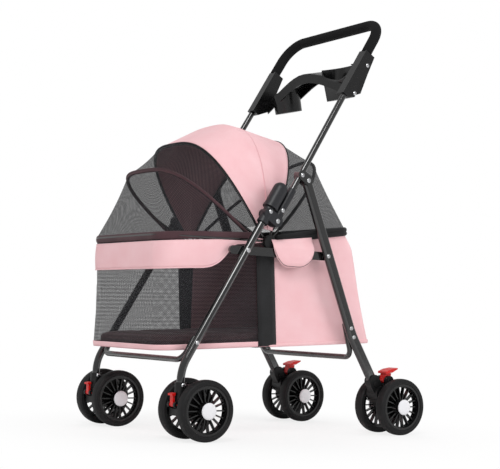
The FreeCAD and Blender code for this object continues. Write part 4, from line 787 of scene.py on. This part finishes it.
def bow_curve(rib, out, start):
    """Points spaced evenly along a rib's curve, from the left hub over the top to the right hub."""
    tilt, reach, fullness, half, foot = RIBS[rib]
    half, reach, tilt = half + out, reach + out, math.radians(tilt)
    spots = []
    for step in range(FINE_STEPS + 1):
        turn = math.pi * step / FINE_STEPS
        x = half * abs(math.cos(turn)) ** (2 / fullness) * (1 if 2 * step <= FINE_STEPS else -1)
        outward = reach * max(math.sin(turn), 0.0) ** (2 / fullness)
        if outward > start or step in (0, FINE_STEPS):
            outward = max(outward, start)
            spots.append(HUB + foot + Vector((x, outward * math.sin(tilt), outward * math.cos(tilt))))
    return evenly(spots, RIB_STEPS)


def evenly(spots, count):
    """count + 1 points at equal distances along a line of points."""
    gone = [0.0]
    for a, b in zip(spots, spots[1:]):
        gone.append(gone[-1] + (b - a).length)
    result, place = [], 0
    for step in range(count + 1):
        target = gone[-1] * step / count
        while place < len(gone) - 2 and gone[place + 1] < target:
            place += 1
        span = max(gone[place + 1] - gone[place], 1e-9)
        result.append(spots[place].lerp(spots[place + 1], min((target - gone[place]) / span, 1.0)))
    return result


# %% Cloth between the ribs
# The canopy is flat up to its crown, and rounded over this share of its width. Slack cloth hangs
# towards a point a little above the hubs.
CROWN_SOFT = 0.12
SLACK_TO = HUB + Vector((0, 0, 0.05))


def loft(curves, slack=0.0, seed=0.0):
    """where(u, v) between two or three curves; slack draws the middle of each bay inward."""
    def where(u, v):
        spots = [curve[round(u * RIB_STEPS)] for curve in curves]
        if len(spots) == 2:
            place = spots[0].lerp(spots[1], v)
        else:
            near = max(0.0, 1 - abs(v - 0.5) / CROWN_SOFT)
            ruled = spots[0].lerp(spots[1], 2 * v) if v < 0.5 else spots[1].lerp(spots[2], 2 * v - 1)
            chord = (spots[0].lerp(spots[1], 1 - CROWN_SOFT) + spots[1].lerp(spots[2], CROWN_SOFT)) / 2
            place = ruled + (chord - spots[1]) / 2 * near ** 2
        inward = (SLACK_TO - place).normalized()
        wave = 1 + mathutils.noise.noise(place * 8 + Vector((seed, 0, 0))) * 0.25
        sag = slack * math.sin(math.pi * v) * min(1.0, 5 * math.sin(math.pi * u))
        return place + inward * sag * wave
    return where


def hood_sheet(name, curves, rows, materials=(hood_net,), slot="grey_mesh", slack=0.0, seed=0.0, depth=0.0):
    """A sheet between ribs as a piece, with its mean length along the ribs and across them."""
    across = 0.0
    for low, high in zip(curves, curves[1:]):
        across += sum((b - a).length for a, b in zip(low, high)) / len(low)
    size = (sum(line_length(curve) for curve in curves) / len(curves), across)
    bm = cut_sheet(RIB_STEPS, rows, loft(curves, slack, seed), size, HUB)
    print("%s: %.0f x %.0f mm" % (name, size[0] / MM, size[1] / MM))
    return make_piece(name, bm, materials, slot=slot, depth=depth), size


# %% The pink canopy
canopy_curves = [bow_curve("middle", out=0.0022, start=0.045), bow_curve("crown", out=0.0030, start=0.030),
                 bow_curve("rear", out=0.0038, start=0.030)]
canopy, size = hood_sheet("hood_canopy_cloth", canopy_curves, 28, PINK_LINED, "pink_fabric", depth=0.0014)
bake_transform(canopy)
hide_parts("hood_canopy")

# %% Piping and the crown seam
# Black piping closes both edges of the canopy. A fine felled seam runs over it behind the crown.
SEAM_SHARE = 0.62


def canopy_roll(name, material, points, wide, tall, slot, up, around):
    """A roll laid along the canopy's curves."""
    piece = make_piece(name, roll(points, wide, tall, up=up, around=around), [material], slot=slot)
    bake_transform(piece)


for name, curve in (("front", canopy_curves[0]), ("rear", canopy_curves[2])):
    canopy_roll("canopy_piping_" + name, binding_black, curve, 0.0034, 0.0034, "grey_mesh",
                up=Vector((0, 1, 0.3)), around=10)
place_at = loft(canopy_curves)
seam = []
for step in range(RIB_STEPS + 1):
    spot = place_at(step / RIB_STEPS, SEAM_SHARE)
    seam.append(spot + (spot - HUB).normalized() * 0.0003)
canopy_roll("canopy_seam", pink_face, seam, 0.0045, 0.0010, "pink_fabric", up=Vector((0, 0.2, 1)), around=8)

# %% The upper front net
upper_curves = [bow_curve("front", out=0.002, start=0.06), bow_curve("middle", out=0.0015, start=0.045)]
upper_net, size = hood_sheet("hood_net_upper", upper_curves, 14, slack=0.004)
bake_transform(upper_net)

# %% The lower front net
# It is zipped to the rim and rides on the front rib's frame, so when the hood opens it comes away
# from the rim.
RIM_STEPS = 800
rim_curve = rim_line(-0.100, FRONT_Y, sleeve_middle, 0.004, 0.001, RIM_STEPS)
lower_curves = [evenly(rim_curve, RIB_STEPS), bow_curve("front", out=0.002, start=0.035)]
lower_net, size = hood_sheet("hood_net_lower", lower_curves, 22, slack=0.002, seed=3.0)
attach(lower_net, "hood_front_frame")
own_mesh(lower_net)
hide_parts("hood_mesh_front")

# %% Sleeve and piping of the front rib
SLEEVE_UP = Vector((0, 1, -0.4))
add_roll("rib_sleeve_front", binding_mauve, bow_curve("front", out=0.0, start=0.03), 0.0094, 0.0086,
         slot="grey_mesh", body="hood_front_frame", up=SLEEVE_UP)
piping_line = [spot + Vector((0, -0.001, 0.002)) for spot in bow_curve("front", out=0.003, start=0.05)]
add_roll("rib_piping_front", binding_mauve, piping_line, 0.0024, 0.0024, body="hood_front_frame",
         up=SLEEVE_UP, around=8)

# %% The rear nets
# The upper one joins the two fixed ribs. The lower one falls from the last rib to the rear rim,
# and the two curves are matched so that its threads run down evenly round the corners.
rear_curves = [bow_curve("rear", out=0.002, start=0.034), bow_curve("last", out=0.002, start=0.05)]
rear_net, size = hood_sheet("hood_net_rear_upper", rear_curves, 12, slack=0.001, seed=5.0)
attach(rear_net, "carrier")
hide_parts("hood_mesh_rear")
rim_curve = evenly(rim_line(-0.030, BACK_TOP_Y, hem_high, -0.003, 0.001, RIM_STEPS), RIM_STEPS)
RIB_TURN, RIM_TURN = 0.36, 0.27
share_of = table_of((0.0, 0.0), (RIB_TURN, RIM_TURN), (1 - RIB_TURN, 1 - RIM_TURN), (1.0, 1.0))
matched = [rim_curve[round(share_of(step / RIB_STEPS) * RIM_STEPS)] for step in range(RIB_STEPS + 1)]
back_net, size = hood_sheet("hood_net_rear_lower", [rear_curves[1], matched], 20, slack=0.001, seed=7.0)
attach(back_net, "carrier")
add_roll("rib_sleeve_last", binding_black, bow_curve("last", out=0.001, start=0.045), 0.0085, 0.0065,
         slot="grey_mesh", up=Vector((0, 1, 1)))

# %% [markdown]
# ## The cup tray
# The tray is one polished moulding that arches from one handle tube to the other, with a cup
# holder, a bin with a dipped front rim, and a clamp on each tube. Its form is taken from the
# engineering node. A moulding has no sharp edges, so flat faces are joined, every edge sharper
# than 32° is rounded by 1.2 mm, and its curved faces are shaded smooth.

# %% The moulding
ROUNDING = 1.2 * MM
FLAT_ANGLE = math.radians(0.5)
SHARP_ANGLE = math.radians(32)
bm = bmesh.new()
bm.from_mesh(frame["nodes"]["cup_tray"].data)
bmesh.ops.transform(bm, matrix=frame["nodes"]["cup_tray"].matrix_world, verts=bm.verts[:])
bmesh.ops.remove_doubles(bm, verts=bm.verts[:], dist=1e-6)
bmesh.ops.dissolve_limit(bm, angle_limit=FLAT_ANGLE, verts=bm.verts[:], edges=bm.edges[:])
print("cup tray: %d points before its edges are rounded" % len(bm.verts))
tray = add_piece("cup_tray_moulding", "handle_frame", bm, [gloss_black], slot="black_plastic")
tray.data.set_sharp_from_angle(angle=SHARP_ANGLE)
edges = tray.modifiers.new("edges", "BEVEL")
edges.width = ROUNDING
edges.segments = 2
edges.limit_method = "ANGLE"
edges.angle_limit = SHARP_ANGLE
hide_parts("cup_tray")

# %% [markdown]
# ## Push-on caps
# Only the rivet near the top of each rear leg shows bright metal. The pins of the rear wheels'
# housings end under small black push-on caps, one at each end of a pin.

# %% Caps over the housings' pins
CAP_RADIUS, CAP_TOP_RADIUS, CAP_HIGH = 6.6 * MM, 5.4 * MM, 3.4 * MM
CAP_OVER = 0.5 * MM
# outer end, inner end, place along the stroller and height of each pin
HOUSING_PINS = {"leg_rivet": (0.2121, 0.1859, 0.2368, 0.1213), "brake_pin": (0.2206, 0.1774, 0.2715, 0.1298)}
for name, side in SIDES.items():
    for pin, (outer, inner, y, z) in HOUSING_PINS.items():
        for end, x, out in (("outer", outer, side), ("inner", inner, -side)):
            bm = bmesh.new()
            bmesh.ops.create_cone(bm, cap_ends=True, segments=32, radius1=CAP_RADIUS, radius2=CAP_TOP_RADIUS,
                                  depth=CAP_HIGH)
            spot = Vector((side * x + out * (CAP_OVER - CAP_HIGH / 2), y, z))
            turn = Matrix.Rotation(out * math.pi / 2, 4, "Y")
            bmesh.ops.transform(bm, matrix=Matrix.Translation(spot) @ turn, verts=bm.verts[:])
            add_piece("cap_%s_%s_%s" % (pin, name, end), "rear_frame", bm, [moulded_black], smooth=False)
print("push-on caps: %d" % (4 * len(HOUSING_PINS)))

# %% [markdown]
# ## The floor mat
# A soft pad lies on the board: two layers of brushed cloth round a sheet of foam, quilted in a few
# long channels. It should swell between its seams, so it is blown up by a short cloth simulation:
# the pad is remeshed in small even faces, put under pressure, and held back where it moves too far.

# %% The pad before it is filled
MAT_THICK, MAT_LIFT = 0.020, 0.0085
MAT_SHARE = (0.955, 0.968)
bm = bmesh.new()
bmesh.ops.create_grid(bm, x_segments=24, y_segments=40, size=0.5)
for vert in bm.verts:
    spot = flat_base(vert.co.x + 0.5, vert.co.y + 0.5)
    vert.co = Vector((spot.x * MAT_SHARE[0], mix(HEART.y, spot.y, MAT_SHARE[1]), base_z(spot.y) + MAT_LIFT))
solid = bmesh.ops.extrude_face_region(bm, geom=bm.faces[:])
bmesh.ops.translate(bm, verts=[item for item in solid["geom"] if isinstance(item, bmesh.types.BMVert)],
                    vec=(0, 0, MAT_THICK))
bmesh.ops.recalc_face_normals(bm, faces=bm.faces[:])
mat = add_piece("floor_mat_pad", "carrier", bm, [mat_cloth])
remesh = mat.modifiers.new("even", "REMESH")
remesh.mode = "VOXEL"
remesh.voxel_size = 0.006


def keep_shape(piece):
    """The piece's modifiers applied to its mesh."""
    graph = bpy.context.evaluated_depsgraph_get()
    mesh = bpy.data.meshes.new_from_object(piece.evaluated_get(graph))
    piece.modifiers.clear()
    piece.data = mesh


keep_shape(mat)
print("mat: %d points before filling" % len(mat.data.vertices))

# %% Filling it
PRESSURE, FRAMES, FURTHEST = 4.0, 20, 0.006


def blow_up(piece):
    """A few steps of cloth under pressure, with no point moved further than FURTHEST."""
    start = [vert.co.copy() for vert in piece.data.vertices]
    cloth = piece.modifiers.new("filling", "CLOTH")
    cloth.settings.use_pressure = True
    cloth.settings.uniform_pressure_force = PRESSURE
    cloth.settings.effector_weights.gravity = 0
    scene = bpy.context.scene
    for step in range(1, FRAMES + 1):
        scene.frame_set(step)
    keep_shape(piece)
    scene.frame_set(1)
    for vert, before in zip(piece.data.vertices, start):
        moved = vert.co - before
        if moved.length > FURTHEST:
            vert.co = before + moved.normalized() * FURTHEST


blow_up(mat)

# %% Sewn channels
# Four seams across the mat press it down to about two fifths of its thickness. They end a little
# before its edges.
SEAMS = (-0.24, -0.12, 0.0, 0.12)
SEAM_WIDE, SEAM_PRESS, SEAM_SINK = 0.007, 0.62, 0.004
SEAM_HALF, SEAM_FADE = 0.135, 0.02
for vert in mat.data.vertices:
    sewn = base_z(vert.co.y) + MAT_LIFT + MAT_THICK / 2 - SEAM_SINK
    near = min(abs(vert.co.y - seam) for seam in SEAMS)
    fade = max(0.0, 1 - max(0.0, abs(vert.co.x) - SEAM_HALF) / SEAM_FADE)
    vert.co.z = mix(vert.co.z, sewn, SEAM_PRESS * math.exp(-(near / SEAM_WIDE) ** 2) * fade)
finer = mat.modifiers.new("finer", "SUBSURF")
finer.levels = finer.render_levels = 1
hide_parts("floor_mat")
print("mat: %d points, %d seams" % (len(mat.data.vertices), len(SEAMS)))

# %% [markdown]
# ## Studio
# A pale floor, a large soft key high over the camera, weaker lamps from the right and from behind,
# and an even world light. Only the key is mirrored in glossy surfaces, as one bright line along
# each tube. The camera sees the world as white, and so it does the floor away from the stroller;
# nearer, the floor keeps a soft shadow.

# %% Floor
FLOOR_HALF = 9.0
SHADOW_NEAR, SHADOW_FAR, LEAST_WHITE = 0.30, 0.80, 0.78
floor_paint, tree, shader = finish("pale_floor", "f4f4f4", 0.9, Specular_IOR_Level=0.0)
bm = bmesh.new()
bmesh.ops.create_grid(bm, x_segments=1, y_segments=1, size=FLOOR_HALF)
floor = make_piece("floor", bm, [floor_paint], smooth=False)
place = add_node(tree, "ShaderNodeTexCoord")
far = add_node(tree, "ShaderNodeVectorMath", None, {0: place.outputs["Object"]}, operation="LENGTH")
fade = add_node(tree, "ShaderNodeMapRange",
                {"From Min": SHADOW_NEAR, "From Max": SHADOW_FAR, "To Min": LEAST_WHITE},
                {"Value": far.outputs["Value"]}, interpolation_type="SMOOTHSTEP")
path = add_node(tree, "ShaderNodeLightPath")
seen = add_node(tree, "ShaderNodeMath", None, {0: fade.outputs["Result"], 1: path.outputs["Is Camera Ray"]},
                operation="MULTIPLY")
white = add_node(tree, "ShaderNodeEmission", {"Color": linear("ffffff"), "Strength": 1.0})
faded = add_node(tree, "ShaderNodeMixShader", None,
                 {"Fac": seen.outputs["Value"], 1: shader.outputs["BSDF"], 2: white.outputs["Emission"]})
tree.links.new(faded.outputs["Shader"], tree.nodes["Material Output"].inputs["Surface"])

# %% Lamps
def soft_box(name, place, aim, size, power, mirrored=False):
    """A square area lamp that points at a spot; only a mirrored one shows in glossy surfaces."""
    data = bpy.data.lights.new(name, "AREA")
    data.shape = "SQUARE"
    data.size = size
    data.energy = power
    data.specular_factor = 1.0 if mirrored else 0.0
    lamp = bpy.data.objects.new(name, data)
    bpy.context.scene.collection.objects.link(lamp)
    lamp.visible_glossy = mirrored
    lamp.location = place
    lamp.rotation_euler = (Vector(aim) - Vector(place)).to_track_quat("-Z", "Y").to_euler()


soft_box("key", (2.45, -2.1, 3.5), (0, 0, 0.5), 1.5, 75, mirrored=True)
soft_box("fill", (3.2, 2.4, 1.6), (0, 0, 0.5), 2.0, 46)
soft_box("back", (-2.2, 1.2, 2.6), (0, 0, 0.6), 2.0, 30)
print("lamps: %d" % len(bpy.data.lights))

# %% World
SKY_LIGHT = 0.55
world = bpy.data.worlds.new("studio")
bpy.context.scene.world = world
world.use_nodes = True
tree = world.node_tree
sky = tree.nodes["Background"]
sky.inputs["Color"].default_value = linear("ffffff")
sky.inputs["Strength"].default_value = SKY_LIGHT
bare = add_node(tree, "ShaderNodeBackground", {"Color": linear("ffffff"), "Strength": 1.0})
path = add_node(tree, "ShaderNodeLightPath")
seen = add_node(tree, "ShaderNodeMath", None,
                {0: path.outputs["Is Camera Ray"], 1: path.outputs["Is Transmission Ray"]}, operation="ADD",
                use_clamp=True)
mixed = add_node(tree, "ShaderNodeMixShader", None,
                 {"Fac": seen.outputs["Value"], 1: sky.outputs["Background"], 2: bare.outputs["Background"]})
tree.links.new(mixed.outputs["Shader"], tree.nodes["World Output"].inputs["Surface"])
bpy.context.scene.view_settings.view_transform = "Standard"
